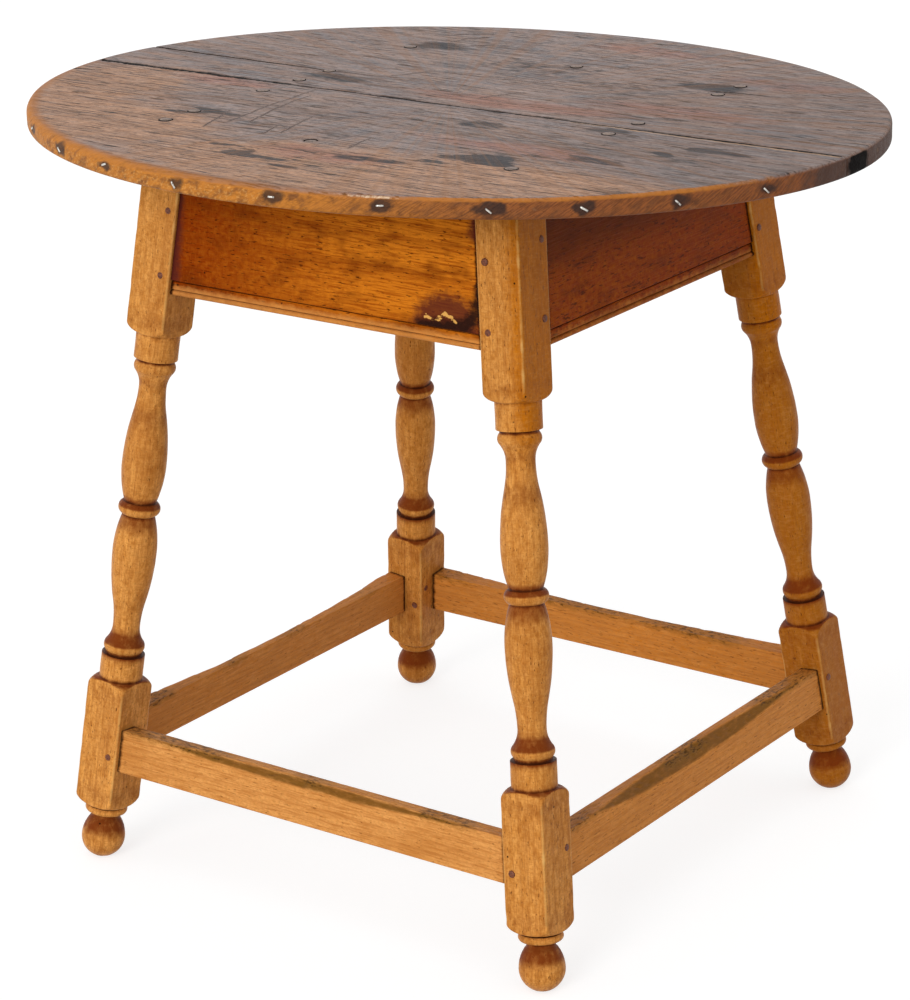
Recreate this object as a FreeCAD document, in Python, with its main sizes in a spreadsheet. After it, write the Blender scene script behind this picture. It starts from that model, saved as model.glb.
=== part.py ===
# An oval tavern table on four turned legs that splay both ways, joined by a deep moulded apron
# above and foot-worn stretchers below, with every tenon pinned by riven wooden pegs.
# Frame: millimetres, +Z up, origin on the floor under the middle of the top, boards along X.
import FreeCAD, Part
import Sketcher
import math
import os

doc = FreeCAD.newDocument("tavern_table")
sheet = doc.addObject("Spreadsheet::Sheet", "Sizes")

driving_sizes = {
    # The whole table and its oval top of two boards.
    "table_height": "686",
    "top_length": "800",
    "top_width": "652",
    "top_thickness": "18.5",
    "top_edge_round": "3.5",
    "seam_offset": "8.5",
    "seam_gap": "0.8",
    # How far the frame of legs and rails stands off the middle of the top.
    "frame_shift_x": "7",
    "frame_shift_y": "1.5",
    # The legs: where their axes meet the floor, how far they lean, and their square stock.
    "leg_reach_x": "246.7",
    "leg_reach_y": "248.4",
    "splay_x": "6.31",
    "splay_y": "6.61",
    "leg_width": "42.5",
    # The foot, from the floor to where the lower block is square, and the ball's worn sole.
    "foot_height": "63.5",
    "foot_flat": "1.9",
    "ball_radius": "20.1",
    "foot_neck_radius": "12.2",
    "foot_ring_radius": "19.5",
    "foot_ring_width": "7.4",
    "foot_ring_step": "4.2",
    "foot_ring_gap": "1.4",
    # The square blocks run past the stretchers and rails that they carry, and end in the rounded
    # shoulders that the lathe leaves on them.
    "block_below_stretcher": "27.5",
    "block_above_stretcher": "29.1",
    "block_below_rail": "28.2",
    "shoulder_length": "12.8",
    "shoulder_radius": "19.4",
    "turning_overrun": "0.8",
    # The double vase between the blocks, the same above and below its middle ring.
    "middle_ring_width": "12.4",
    "middle_ring_radius": "19.1",
    "vase_foot_radius": "14.6",
    "vase_belly_offset": "41",
    "vase_belly_radius": "20.1",
    "vase_neck_offset": "113.5",
    "vase_neck_radius": "12.4",
    "bead_offset": "131.9",
    "bead_radius": "18.8",
    "bead_width": "10",
    "bead_step": "2.1",
    "quirk_width": "2.6",
    "collar_radius": "19.8",
    # The apron rails and the moulding run along their lower edge.
    "rail_depth": "131",
    "rail_thickness": "20",
    "rail_setback": "3",
    "moulding_height": "13.5",
    "moulding_quirk_depth": "2.6",
    "moulding_quirk_height": "1",
    "fascia_depth": "1.5",
    "fascia_height": "5.4",
    "moulding_bead_depth": "0.7",
    "moulding_bead_sink": "2",
    # The stretchers, and the hollow that feet have worn in their outer top edges.
    "stretcher_depth": "40.5",
    "stretcher_thickness": "18",
    "stretcher_setback": "4.5",
    "wear_depth_long": "5",
    "wear_depth_short": "8",
    "wear_half_length": "190",
    "wear_slope": "42",
    # Tenons, and the play that they have in their mortises.
    "tenon_length": "22",
    "tenon_thickness": "8",
    "rail_tenon_inset": "7",
    "rail_tenon_foot": "5",
    "rail_tenon_haunch": "20",
    "stretcher_tenon_inset": "5",
    "stretcher_tenon_shoulder": "4",
    "mortise_play": "0.15",
    # Pegs through the tenons, with heights from the lower edge of the rail or stretcher.
    "peg_diameter": "6.4",
    "peg_play": "0.05",
    "peg_proud": "0.7",
    "peg_inset": "12.4",
    "rail_peg_low_long": "15",
    "rail_peg_high_long": "72",
    "rail_peg_low_short": "24",
    "rail_peg_high_short": "88",
    "stretcher_peg_long": "12",
    "stretcher_peg_short": "30",
    # Pins that hold the boards down, and the nails in the rim of the front board.
    "top_pin_diameter": "11",
    "top_pin_depth": "18",
    "top_pin_sink": "0.3",
    "leg_pin_offset": "8",
    "nail_diameter": "2",
    "nail_length": "16",
    "nail_proud": "1.6",
}
for row, (alias, size) in enumerate(driving_sizes.items(), start=1):
    sheet.set(f"A{row}", alias)
    sheet.set(f"B{row}", size)
    sheet.setAlias(f"B{row}", alias)
doc.recompute()

# The vase turns from full to hollow at this share of the way from its belly to its neck.
vase_turn_share = 0.65
# The ball is drawn up like a pear. It runs into its neck at this share of its radius above its
# middle, with this share of its radius left, and the neck is narrowest at the last share of the
# way from there to the ring.
ball_top_share = 0.886
ball_top_width_share = 0.726
foot_neck_share = 0.75
# Places of the top's pins along each side, as shares of half the side, leg to leg.
top_pin_shares = {
    "front": [-0.13],
    "right": [-0.21, 0.06, 0.82],
    "rear": [-0.04],
    "left": [0.82, 0.26, -0.05, -0.31],
}
# Turns of the rim nails round the oval, in degrees from +X.
nail_turns = [-134, -121.4, -109.5, -96.4, -82.2, -68.5, -55.5, -44.1, -31.9, -18.6]
peg_sides = 8

# Which way each leg stands from the middle, and which legs each side runs between.
leg_signs = {"front_left": (-1, -1), "front_right": (1, -1), "rear_right": (1, 1), "rear_left": (-1, 1)}
# The side's turn about Z in degrees, and the axes across and along it.
side_turns = {"front": 0, "right": 90, "rear": 180, "left": 270}
side_axes = {"front": ("y", "x"), "right": ("x", "y"), "rear": ("y", "x"), "left": ("x", "y")}
side_legs = {
    "front": ["front_left", "front_right"],
    "right": ["front_right", "rear_right"],
    "rear": ["rear_right", "rear_left"],
    "left": ["rear_left", "front_left"],
}

underside = "(Sizes.table_height - Sizes.top_thickness)"
lean = "atan(sqrt(tan(Sizes.splay_x)^2 + tan(Sizes.splay_y)^2))"
rail_bottom = f"({underside} - Sizes.rail_depth)"
stretcher_bottom = "(Sizes.foot_height + Sizes.block_below_stretcher)"
stretcher_top = f"({stretcher_bottom} + Sizes.stretcher_depth)"
no_turn = "rotation(vector(0; 0; 1); 0)"
frame_place = f"placement(vector(Sizes.frame_shift_x; Sizes.frame_shift_y; 0); {no_turn})"


def number(expression):
    # What an expression of the sheet's sizes comes to now.
    found = sheet.evalExpression(expression)
    return getattr(found, "Value", found)


def at(x="0", y="0", z="0", turn=no_turn):
    return f"placement(vector({x}; {y}; {z}); {turn})"


def make_box(name, length, width, height, placement):
    box = doc.addObject("Part::Box", name)
    box.setExpression("Length", length)
    box.setExpression("Width", width)
    box.setExpression("Height", height)
    box.setExpression("Placement", placement)
    return box


def make_rod(name, radius, height, placement):
    rod = doc.addObject("Part::Cylinder", name)
    rod.setExpression("Radius", radius)
    rod.setExpression("Height", height)
    rod.setExpression("Placement", placement)
    return rod


def make_peg(name, diameter, height, placement):
    # A riven peg is whittled to eight flats and driven into a round hole.
    peg = doc.addObject("Part::Prism", name)
    peg.Polygon = peg_sides
    peg.setExpression("Circumradius", f"{diameter} / 2")
    peg.setExpression("Height", height)
    peg.setExpression("Placement", placement)
    return peg


def join(name, pieces):
    joined = doc.addObject("Part::MultiFuse", name)
    joined.Shapes = pieces
    return joined


def cut_away(name, base, tools):
    cut = doc.addObject("Part::Cut", name)
    cut.Base = base
    cut.Tool = tools[0] if len(tools) == 1 else join(name + "_tools", tools)
    return cut


def group(name, solids):
    together = doc.addObject("Part::Compound", name)
    together.Links = solids
    return together


def draw_outline(body, plane, name, corners):
    # A closed outline of straight runs and arcs. Each corner is (across, up, run), where run tells
    # how the outline comes to it: straight, or by an arc whose crest, where it runs parallel to
    # the up axis, is at this corner ("to crest") or at the one before ("from crest").
    sketch = body.newObject("Sketcher::SketchObject", name)
    support = next(feature for feature in body.Origin.OriginFeatures if feature.Role == plane)
    sketch.AttachmentSupport = [(support, "")]
    sketch.MapMode = "FlatFace"
    points = [FreeCAD.Vector(number(across), number(up), 0) for across, up, run in corners]
    ends = []
    for index, (across, up, run) in enumerate(corners):
        start, finish = points[index - 1], points[index]
        if run == "straight":
            edge = sketch.addGeometry(Part.LineSegment(start, finish))
            ends.append((edge, 1, 2))
            continue
        crest, other = (finish, start) if run == "to crest" else (start, finish)
        rise = other.y - crest.y
        reach = other.x - crest.x
        radius = (rise ** 2 + reach ** 2) / (2 * abs(reach))
        centre = FreeCAD.Vector(crest.x + math.copysign(radius, reach), crest.y, 0)
        halfway = (start - centre).normalize() + (finish - centre).normalize()
        middle = centre + halfway.normalize() * radius
        edge = sketch.addGeometry(Part.Arc(start, middle, finish))
        to_start = [sketch.getPoint(edge, end).distanceToPoint(start) for end in (1, 2)]
        ends.append((edge, 1, 2) if to_start[0] < to_start[1] else (edge, 2, 1))
        crest_up = up if run == "to crest" else corners[index - 1][1]
        pin_point(sketch, edge, 3, None, crest_up)
    for index, (edge, first, last) in enumerate(ends):
        before, before_first, before_last = ends[index - 1]
        sketch.addConstraint(Sketcher.Constraint("Coincident", before, before_last, edge, first))
        pin_point(sketch, edge, last, corners[index][0], corners[index][1])
    return sketch


def pin_point(sketch, edge, point, across, up):
    # Ties a point of the sketch to the sheet, or to an axis where the size is nothing.
    for kind, size, axis in (("DistanceX", across, -2), ("DistanceY", up, -1)):
        if size is None:
            continue
        if size == "0":
            sketch.addConstraint(Sketcher.Constraint("PointOnObject", edge, point, axis))
            continue
        tie = sketch.addConstraint(Sketcher.Constraint(kind, -1, 1, edge, point, number(size)))
        sketch.setExpression(f"Constraints[{tie}]", size)


def up_leg(height):
    # A height above the floor as a length along the leaning leg, from the sole of the whole ball.
    return f"({height} / cos({lean}) + Sizes.foot_flat)"


def foot_outline(block_radius):
    # The ball, its neck, the ring and the shoulder of the lower block.
    ball_top = f"(Sizes.ball_radius * {1 + ball_top_share})"
    ball_top_radius = f"(Sizes.ball_radius * {ball_top_width_share})"
    block_start = up_leg("Sizes.foot_height")
    shoulder = f"({block_start} - Sizes.shoulder_length)"
    ring_high = f"({shoulder} - Sizes.foot_ring_gap)"
    ring_low = f"({ring_high} - Sizes.foot_ring_width)"
    ring_edge = "(Sizes.foot_ring_radius - Sizes.foot_ring_step)"
    neck = f"({ball_top} + {foot_neck_share} * ({ring_low} - {ball_top}))"
    return [
        ("0", "0", "straight"),
        ("Sizes.ball_radius", "Sizes.ball_radius", "to crest"),
        (ball_top_radius, ball_top, "from crest"),
        ("Sizes.foot_neck_radius", neck, "to crest"),
        (ring_edge, ring_low, "from crest"),
        ("Sizes.foot_ring_radius", f"({ring_high} - Sizes.foot_ring_width / 2)", "to crest"),
        (ring_edge, ring_high, "from crest"),
        ("Sizes.shoulder_radius", shoulder, "straight"),
        (block_radius, block_start, "to crest"),
    ]


def vase_outline(block_radius, half_length):
    # Half of the double vase, as (radius, offset from the middle ring, run), out to its block.
    belly_to_neck = "(Sizes.vase_neck_offset - Sizes.vase_belly_offset)"
    belly_less_neck = "(Sizes.vase_belly_radius - Sizes.vase_neck_radius)"
    bead_edge = "(Sizes.bead_radius - Sizes.bead_step)"
    bead_far = "(Sizes.bead_offset + Sizes.bead_width / 2)"
    collar_near = f"({bead_far} + Sizes.quirk_width)"
    return [
        ("Sizes.vase_foot_radius", "Sizes.middle_ring_width / 2", "from crest"),
        ("Sizes.vase_belly_radius", "Sizes.vase_belly_offset", "to crest"),
        (f"(Sizes.vase_belly_radius - {vase_turn_share} * {belly_less_neck})",
         f"(Sizes.vase_belly_offset + {vase_turn_share} * {belly_to_neck})", "from crest"),
        ("Sizes.vase_neck_radius", "Sizes.vase_neck_offset", "to crest"),
        (bead_edge, "(Sizes.bead_offset - Sizes.bead_width / 2)", "from crest"),
        ("Sizes.bead_radius", "Sizes.bead_offset", "to crest"),
        (bead_edge, bead_far, "from crest"),
        (bead_edge, collar_near, "straight"),
        ("Sizes.collar_radius", collar_near, "straight"),
        ("Sizes.collar_radius", f"({half_length} - Sizes.shoulder_length)", "straight"),
        (block_radius, half_length, "to crest"),
    ]


def leg_outline():
    # Half of the turned leg from the sole of the ball foot to its top, as (radius, height, run).
    block_radius = "(Sizes.leg_width * sqrt(2) / 2 + Sizes.turning_overrun)"
    lower_end = up_leg(f"({stretcher_top} + Sizes.block_above_stretcher)")
    upper_end = up_leg(f"({rail_bottom} - Sizes.block_below_rail)")
    middle = f"(({upper_end} + {lower_end}) / 2)"
    vase = vase_outline(block_radius, f"(({upper_end} - {lower_end}) / 2)")
    upper = [(radius, f"({middle} + {offset})", run) for radius, offset, run in vase]
    # The lower half is the upper one mirrored, so each arc is met from its other end.
    opposite = {"straight": "straight", "to crest": "from crest", "from crest": "to crest"}
    lower_runs = ["straight"] + [opposite[run] for radius, offset, run in reversed(vase)]
    lower = [
        (radius, f"({middle} - {offset})", run)
        for (radius, offset, upper_run), run in zip(reversed(vase), lower_runs)
    ]
    ring = [("Sizes.middle_ring_radius", middle, lower_runs[-1])]
    top = f"({up_leg(underside)} + Sizes.leg_width)"
    end = [(block_radius, top, "straight"), ("0", top, "straight")]
    return foot_outline(block_radius) + lower + ring + upper + end


def splayed_leg(name):
    # The blank, its turned outline and the square that the blocks keep, leaning on its place.
    across, back = leg_signs[name]
    body = doc.addObject("PartDesign::Body", f"turning_{name}")
    sketch = draw_outline(body, "XZ_Plane", f"outline_{name}", leg_outline())
    turning = body.newObject("PartDesign::Revolution", f"lathe_{name}")
    turning.Profile = sketch
    turning.ReferenceAxis = (sketch, ["V_Axis"])
    lean_axis = f"vector({back} * tan(Sizes.splay_y); {-across} * tan(Sizes.splay_x); 0)"
    place = at(f"{across} * Sizes.leg_reach_x", f"{back} * Sizes.leg_reach_y", "0",
               f"rotation({lean_axis}; {lean})")
    body.setExpression("Placement", f"{frame_place} * {place} * {at(z='-Sizes.foot_flat')}")
    centred = at("-Sizes.leg_width / 2", "-Sizes.leg_width / 2")
    stock_length = f"{up_leg(underside)} + Sizes.leg_width"
    stock = make_box(f"stock_{name}", "Sizes.leg_width", "Sizes.leg_width", stock_length,
                     f"{body.Name}.Placement * {centred}")
    blank = doc.addObject("Part::Common", f"blank_{name}")
    blank.Base = body
    blank.Tool = stock
    return body, blank


def beyond_leg(leg_name, along, depth, name):
    # Everything that lies outwards past a plane set the given depth inside the leg's inner face.
    sign = leg_signs[leg_name][0 if along == "x" else 1]
    inner = f"(Sizes.leg_width / 2 - {depth})"
    near = {1: f"-{inner}", -1: f"{inner} - Sizes.leg_reach_{along}"}[sign]
    other = "y" if along == "x" else "x"
    corner = {along: near, other: f"-Sizes.leg_reach_{other} / 2"}
    height = "Sizes.table_height + Sizes.leg_reach_x"
    return make_box(name, "Sizes.leg_reach_x", "Sizes.leg_reach_y", height,
                    f"{leg_bodies[leg_name].Name}.Placement * {at(**corner)}")


def side_place(side, bottom, setback):
    # The outer lower edge of a rail or stretcher, with its face leaning in as the legs do.
    across, along = side_axes[side]
    axis_out = f"(Sizes.leg_reach_{across} - tan(Sizes.splay_{across}) * {bottom})"
    out = f"({axis_out} + Sizes.leg_width / 2 - {setback})"
    tilt = f"rotation(vector(1; 0; 0); -Sizes.splay_{across})"
    side_turn = at(turn=f"rotation(vector(0; 0; 1); {side_turns[side]})")
    return f"{frame_place} * {side_turn} * {at(y=f'-{out}', z=bottom, turn=tilt)}"


def rail_section():
    # The rail's face, its quirk, the flat fascia under it and the bead on the lower edge.
    quirk_floor = "(Sizes.moulding_height - Sizes.moulding_quirk_height)"
    fascia_top = "(Sizes.moulding_height - 2 * Sizes.moulding_quirk_height)"
    bead_edge = "(Sizes.moulding_bead_depth + Sizes.moulding_bead_sink)"
    bead_top = "(Sizes.fascia_height - Sizes.moulding_quirk_height)"
    top = "(Sizes.rail_depth + Sizes.leg_width)"
    return [
        ("0", top, "straight"),
        ("0", "Sizes.moulding_height", "straight"),
        ("Sizes.moulding_quirk_depth", quirk_floor, "straight"),
        ("Sizes.fascia_depth", fascia_top, "straight"),
        ("Sizes.fascia_depth", "Sizes.fascia_height", "straight"),
        (bead_edge, bead_top, "straight"),
        ("Sizes.moulding_bead_depth", f"({bead_top} / 2)", "to crest"),
        (bead_edge, "0", "from crest"),
        ("Sizes.rail_thickness", "0", "straight"),
        ("Sizes.rail_thickness", top, "straight"),
    ]


def stretcher_section():
    return [
        ("0", "0", "straight"),
        ("Sizes.stretcher_thickness", "0", "straight"),
        ("Sizes.stretcher_thickness", "Sizes.stretcher_depth", "straight"),
        ("0", "Sizes.stretcher_depth", "straight"),
    ]


def tenoned_bar(kind, side, section, place, tongue, trims):
    # A bar run to its section, cut to slanted shoulders and carried on into its two tenons.
    # The tongue is (inset, foot, height) of the tenons in the bar's own frame.
    across, along = side_axes[side]
    full_run = f"2 * Sizes.leg_reach_{along}"
    name = f"{kind}_{side}"
    body = doc.addObject("PartDesign::Body", f"bar_{name}")
    run = body.newObject("PartDesign::Pad", f"run_{name}")
    run.Profile = draw_outline(body, "YZ_Plane", f"section_{name}", section)
    run.SideType = "Symmetric"
    run.setExpression("Length", full_run)
    body.Tip = run
    body.setExpression("Placement", place)
    inset, foot, height = tongue

    def tongue_box(label, play):
        corner = at(f"-Sizes.leg_reach_{along}", f"{inset} - {play}", f"{foot} - {play}")
        return make_box(f"{label}_{name}", full_run, f"Sizes.tenon_thickness + 2 * {play}",
                        f"{height} + 2 * {play}", f"{body.Name}.Placement * {corner}")

    def ends(stops):
        return [stops[leg_name, along] for leg_name in side_legs[side]]

    shouldered = cut_away(f"shouldered_{name}", body, ends(shoulders))
    tenons = cut_away(f"tenons_{name}", tongue_box("tongue", "0"), ends(tenon_ends))
    slots = cut_away(f"mortises_{name}", tongue_box("slot", "Sizes.mortise_play"), ends(mortise_ends))
    bar = cut_away(name, join(f"solid_{name}", [shouldered, tenons]), trims + peg_holes[kind, side])
    return bar, slots


def foot_wear(side, place):
    # A long shallow scoop out of the outer top edge, deepest at the middle of the stretcher.
    depth = "Sizes.wear_depth_" + ("long" if side in ("front", "rear") else "short")
    radius = f"((Sizes.wear_half_length^2 + {depth}^2) / (2 * {depth}))"
    length = "2 * Sizes.stretcher_depth"
    out = f"({radius} - {depth})"
    centre = at("0", f"-{out} * cos(Sizes.wear_slope)",
                f"Sizes.stretcher_depth + {out} * sin(Sizes.wear_slope)",
                "rotation(vector(1; 0; 0); -Sizes.wear_slope)")
    return make_rod(f"foot_wear_{side}", radius, length,
                    f"{place} * {centre} * {at(z='-Sizes.stretcher_depth')}")


def drawbore(kind, side, leg_name, index, height):
    # One peg through the leg and the tenon in it, square to the leg's face, and its hole.
    across, along = side_axes[side]
    signs = dict(zip(("x", "y"), leg_signs[leg_name]))
    reach = "Sizes.leg_width / 2 + Sizes.peg_proud"
    turn_peg = {"y": "rotation(vector(1; 0; 0); -90)", "x": "rotation(vector(0; 1; 0); 90)"}[across]
    spot = {along: f"{-signs[along]} * Sizes.peg_inset", across: f"-({reach})"}
    place = f"{leg_bodies[leg_name].Name}.Placement * {at(z=up_leg(height), turn=turn_peg, **spot)}"
    name = f"{kind}_{side}_{leg_name}_{index}"
    peg = make_peg(f"peg_{name}", "Sizes.peg_diameter", f"2 * ({reach})", place)
    hole = make_rod(f"hole_{name}", "Sizes.peg_diameter / 2 + Sizes.peg_play", f"2 * ({reach})", place)
    return peg, hole


# The floor below the feet and the space above the rails, which trim the leaning pieces level.
below = make_box("below_floor", "Sizes.top_length", "Sizes.top_length", "Sizes.leg_width",
                 at("-Sizes.top_length / 2", "-Sizes.top_length / 2", "-Sizes.leg_width"))
above = make_box("above_frame", "Sizes.top_length", "Sizes.top_length", "Sizes.table_height",
                 at("-Sizes.top_length / 2", "-Sizes.top_length / 2", underside))

# Leg blanks, and the planes inside them where shoulders, tenons and mortises stop.
leg_bodies = {}
leg_blanks = {}
shoulders = {}
tenon_ends = {}
mortise_ends = {}
for leg_name in leg_signs:
    leg_bodies[leg_name], leg_blanks[leg_name] = splayed_leg(leg_name)
    for along in ("x", "y"):
        key = (leg_name, along)
        shoulders[key] = beyond_leg(leg_name, along, "0", f"shoulder_{leg_name}_{along}")
        tenon_ends[key] = beyond_leg(leg_name, along, "Sizes.tenon_length", f"tenon_end_{leg_name}_{along}")
        mortise_ends[key] = beyond_leg(leg_name, along, "(Sizes.tenon_length + Sizes.mortise_play)",
                                       f"mortise_end_{leg_name}_{along}")

# Pegs: two in each rail tenon and one in each stretcher tenon, at two levels so that pegs that
# enter a leg from its two faces pass each other.
pegs = {}
peg_holes = {}
leg_cuts = {leg_name: [below, above] for leg_name in leg_signs}
for side in side_turns:
    reach = "long" if side in ("front", "rear") else "short"
    heights = {
        "rail": [f"({rail_bottom} + Sizes.rail_peg_{level}_{reach})" for level in ("low", "high")],
        "stretcher": [f"({stretcher_bottom} + Sizes.stretcher_peg_{reach})"],
    }
    for kind in heights:
        peg_holes[kind, side] = []
        for leg_name in side_legs[side]:
            for index, height in enumerate(heights[kind]):
                peg, hole = drawbore(kind, side, leg_name, index, height)
                pegs.setdefault((kind, leg_name), []).append(peg)
                peg_holes[kind, side].append(hole)
                leg_cuts[leg_name].append(hole)

# Pins through the top into the middle of the rails' upper edges and into the tops of the legs.
pins = []
pin_holes = []


def top_pin(name, place):
    depth = "Sizes.top_thickness + Sizes.top_pin_depth"
    pins.append(make_peg(f"pin_{name}", "Sizes.top_pin_diameter", f"{depth} - Sizes.top_pin_sink", place))
    hole = make_rod(f"pin_hole_{name}", "Sizes.top_pin_diameter / 2 + Sizes.peg_play", depth, place)
    pin_holes.append(hole)
    return hole


pin_bottom = f"({underside} - Sizes.top_pin_depth)"
rail_cuts = {side: [above] for side in side_turns}
for side, shares in top_pin_shares.items():
    across, along = side_axes[side]
    out = (f"(Sizes.leg_reach_{across} - tan(Sizes.splay_{across}) * {underside} + Sizes.leg_width / 2"
           " - Sizes.rail_setback - Sizes.rail_thickness / 2)")
    half_side = f"(Sizes.leg_reach_{along} - tan(Sizes.splay_{along}) * {underside})"
    for index, share in enumerate(shares):
        spot = at(f"{share} * {half_side}", f"-{out}", pin_bottom)
        side_turn = at(turn=f"rotation(vector(0; 0; 1); {side_turns[side]})")
        place = f"{frame_place} * {side_turn} * {spot}"
        rail_cuts[side].append(top_pin(f"{side}_{index}", place))
for leg_name, (across, back) in leg_signs.items():
    spots = [
        f"{sign} * (Sizes.leg_reach_{axis} - tan(Sizes.splay_{axis}) * {underside} + Sizes.leg_pin_offset)"
        for axis, sign in (("x", across), ("y", back))
    ]
    place = f"{frame_place} * {at(spots[0], spots[1], pin_bottom)}"
    leg_cuts[leg_name].append(top_pin(leg_name, place))

# Rails and stretchers, each with the slots that its tenons need in the legs.
sub_parts = []
for side in side_turns:
    rail_place = side_place(side, rail_bottom, "Sizes.rail_setback")
    rail_tongue = ("Sizes.rail_tenon_inset", "Sizes.rail_tenon_foot",
                   "(Sizes.rail_depth - Sizes.rail_tenon_foot - Sizes.rail_tenon_haunch)")
    rail, rail_slots = tenoned_bar("rail", side, rail_section(), rail_place, rail_tongue, rail_cuts[side])
    stretcher_place = side_place(side, stretcher_bottom, "Sizes.stretcher_setback")
    stretcher_tongue = ("Sizes.stretcher_tenon_inset", "Sizes.stretcher_tenon_shoulder",
                        "(Sizes.stretcher_depth - 2 * Sizes.stretcher_tenon_shoulder)")
    wear = foot_wear(side, stretcher_place)
    stretcher, stretcher_slots = tenoned_bar("stretcher", side, stretcher_section(), stretcher_place,
                                             stretcher_tongue, [wear])
    sub_parts += [rail, stretcher]
    for leg_name in side_legs[side]:
        leg_cuts[leg_name] += [rail_slots, stretcher_slots]

for leg_name in leg_signs:
    sub_parts.append(cut_away(f"leg_{leg_name}", leg_blanks[leg_name], leg_cuts[leg_name]))
    sub_parts.append(group(f"rail_pegs_{leg_name}", pegs["rail", leg_name]))
    sub_parts.append(group(f"stretcher_pegs_{leg_name}", pegs["stretcher", leg_name]))

# The oval top: one outline with eased edges, in two boards that meet at a seam along X.
oval = doc.addObject("PartDesign::Body", "oval")
oval_outline = oval.newObject("Sketcher::SketchObject", "oval_outline")
ground = next(feature for feature in oval.Origin.OriginFeatures if feature.Role == "XY_Plane")
oval_outline.AttachmentSupport = [(ground, "")]
oval_outline.MapMode = "FlatFace"
end_point = FreeCAD.Vector(number("Sizes.top_length / 2"), 0, 0)
side_point = FreeCAD.Vector(0, number("Sizes.top_width / 2"), 0)
curve = oval_outline.addGeometry(Part.Ellipse(end_point, side_point, FreeCAD.Vector(0, 0, 0)))
oval_outline.exposeInternalGeometry(curve)
long_axis = curve + 1
short_axis = curve + 2
oval_outline.addConstraint(Sketcher.Constraint("Coincident", curve, 3, -1, 1))
oval_outline.addConstraint(Sketcher.Constraint("Horizontal", long_axis))
for axis, size in ((long_axis, "Sizes.top_length"), (short_axis, "Sizes.top_width")):
    tie = oval_outline.addConstraint(Sketcher.Constraint("Distance", axis, number(size)))
    oval_outline.setExpression(f"Constraints[{tie}]", size)
slab = oval.newObject("PartDesign::Pad", "slab")
slab.Profile = oval_outline
slab.setExpression("Length", "Sizes.top_thickness")
doc.recompute()
rims = [f"Edge{index}" for index, edge in enumerate(slab.Shape.Edges, start=1) if edge.Closed]
eased = oval.newObject("PartDesign::Fillet", "eased_rim")
eased.Base = (slab, rims)
eased.setExpression("Radius", "Sizes.top_edge_round")
oval.Tip = eased
oval.setExpression("Placement", at(z=underside))

# Nails left in the rim of the front board, square to the oval and half way up it.
nails = []
nail_holes = []
for index, turn in enumerate(nail_turns):
    x = f"Sizes.top_length / 2 * cos({turn})"
    y = f"Sizes.top_width / 2 * sin({turn})"
    outwards = f"atan2(Sizes.top_length * sin({turn}); Sizes.top_width * cos({turn}))"
    rim_turn = f"rotation(vector(0; 0; 1); {outwards}) * rotation(vector(0; 1; 0); 90)"
    rim = at(x, y, f"{underside} + Sizes.top_thickness / 2", rim_turn)
    place = f"{rim} * {at(z='Sizes.nail_proud - Sizes.nail_length')}"
    nails.append(make_rod(f"nail_{index}", "Sizes.nail_diameter / 2", "Sizes.nail_length", place))
    nail_holes.append(make_rod(f"nail_hole_{index}", "Sizes.nail_diameter / 2 + Sizes.peg_play",
                               "Sizes.nail_length", place))

board_spans = {
    "front": ("-Sizes.top_width", "Sizes.top_width - Sizes.seam_offset - Sizes.seam_gap / 2"),
    "rear": ("-Sizes.seam_offset + Sizes.seam_gap / 2", "Sizes.top_width"),
}
for board, (near, depth) in board_spans.items():
    half = doc.addObject("Part::Common", f"half_{board}")
    half.Base = oval
    half.Tool = make_box(f"span_{board}", "2 * Sizes.top_length", depth, "2 * Sizes.table_height",
                         at("-Sizes.top_length", near))
    doc.recompute()
    seam = number("-Sizes.seam_offset")
    in_front = [hole.Placement.Base.y < seam for hole in pin_holes]
    here = [index for index, front in enumerate(in_front) if front == (board == "front")]
    holes = [pin_holes[index] for index in here] + (nail_holes if board == "front" else [])
    sub_parts.append(cut_away(f"top_{board}_board", half, holes))
    sub_parts.append(group(f"top_pins_{board}_board", [pins[index] for index in here]))
sub_parts.append(group("edge_nails", nails))

doc.recompute()
for item in doc.Objects:
    if "Invalid" in item.State or "Error" in item.State:
        raise RuntimeError(f"{item.Name} did not build: {item.State}")
for sub_part in sub_parts:
    sub_part.Label = sub_part.Name
    if sub_part.Shape.isNull() or not sub_part.Shape.isValid():
        raise RuntimeError(f"{sub_part.Label} has no valid shape")
os.makedirs("parts", exist_ok=True)
for sub_part in sub_parts:
    sub_part.Shape.exportStep(f"parts/{sub_part.Label}.step")
    box = sub_part.Shape.BoundBox
    print(f"{sub_part.Label}: {len(sub_part.Shape.Solids)} solids, volume {sub_part.Shape.Volume:.0f},"
          f" {box.XLength:.1f} x {box.YLength:.1f} x {box.ZLength:.1f}")
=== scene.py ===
"""A small tavern table: an oval top of two weathered pine boards on four splayed, turned maple legs."""

import math

import bmesh
import bpy
import numpy as np
from mathutils import Matrix, Quaternion, Vector, noise


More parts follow.
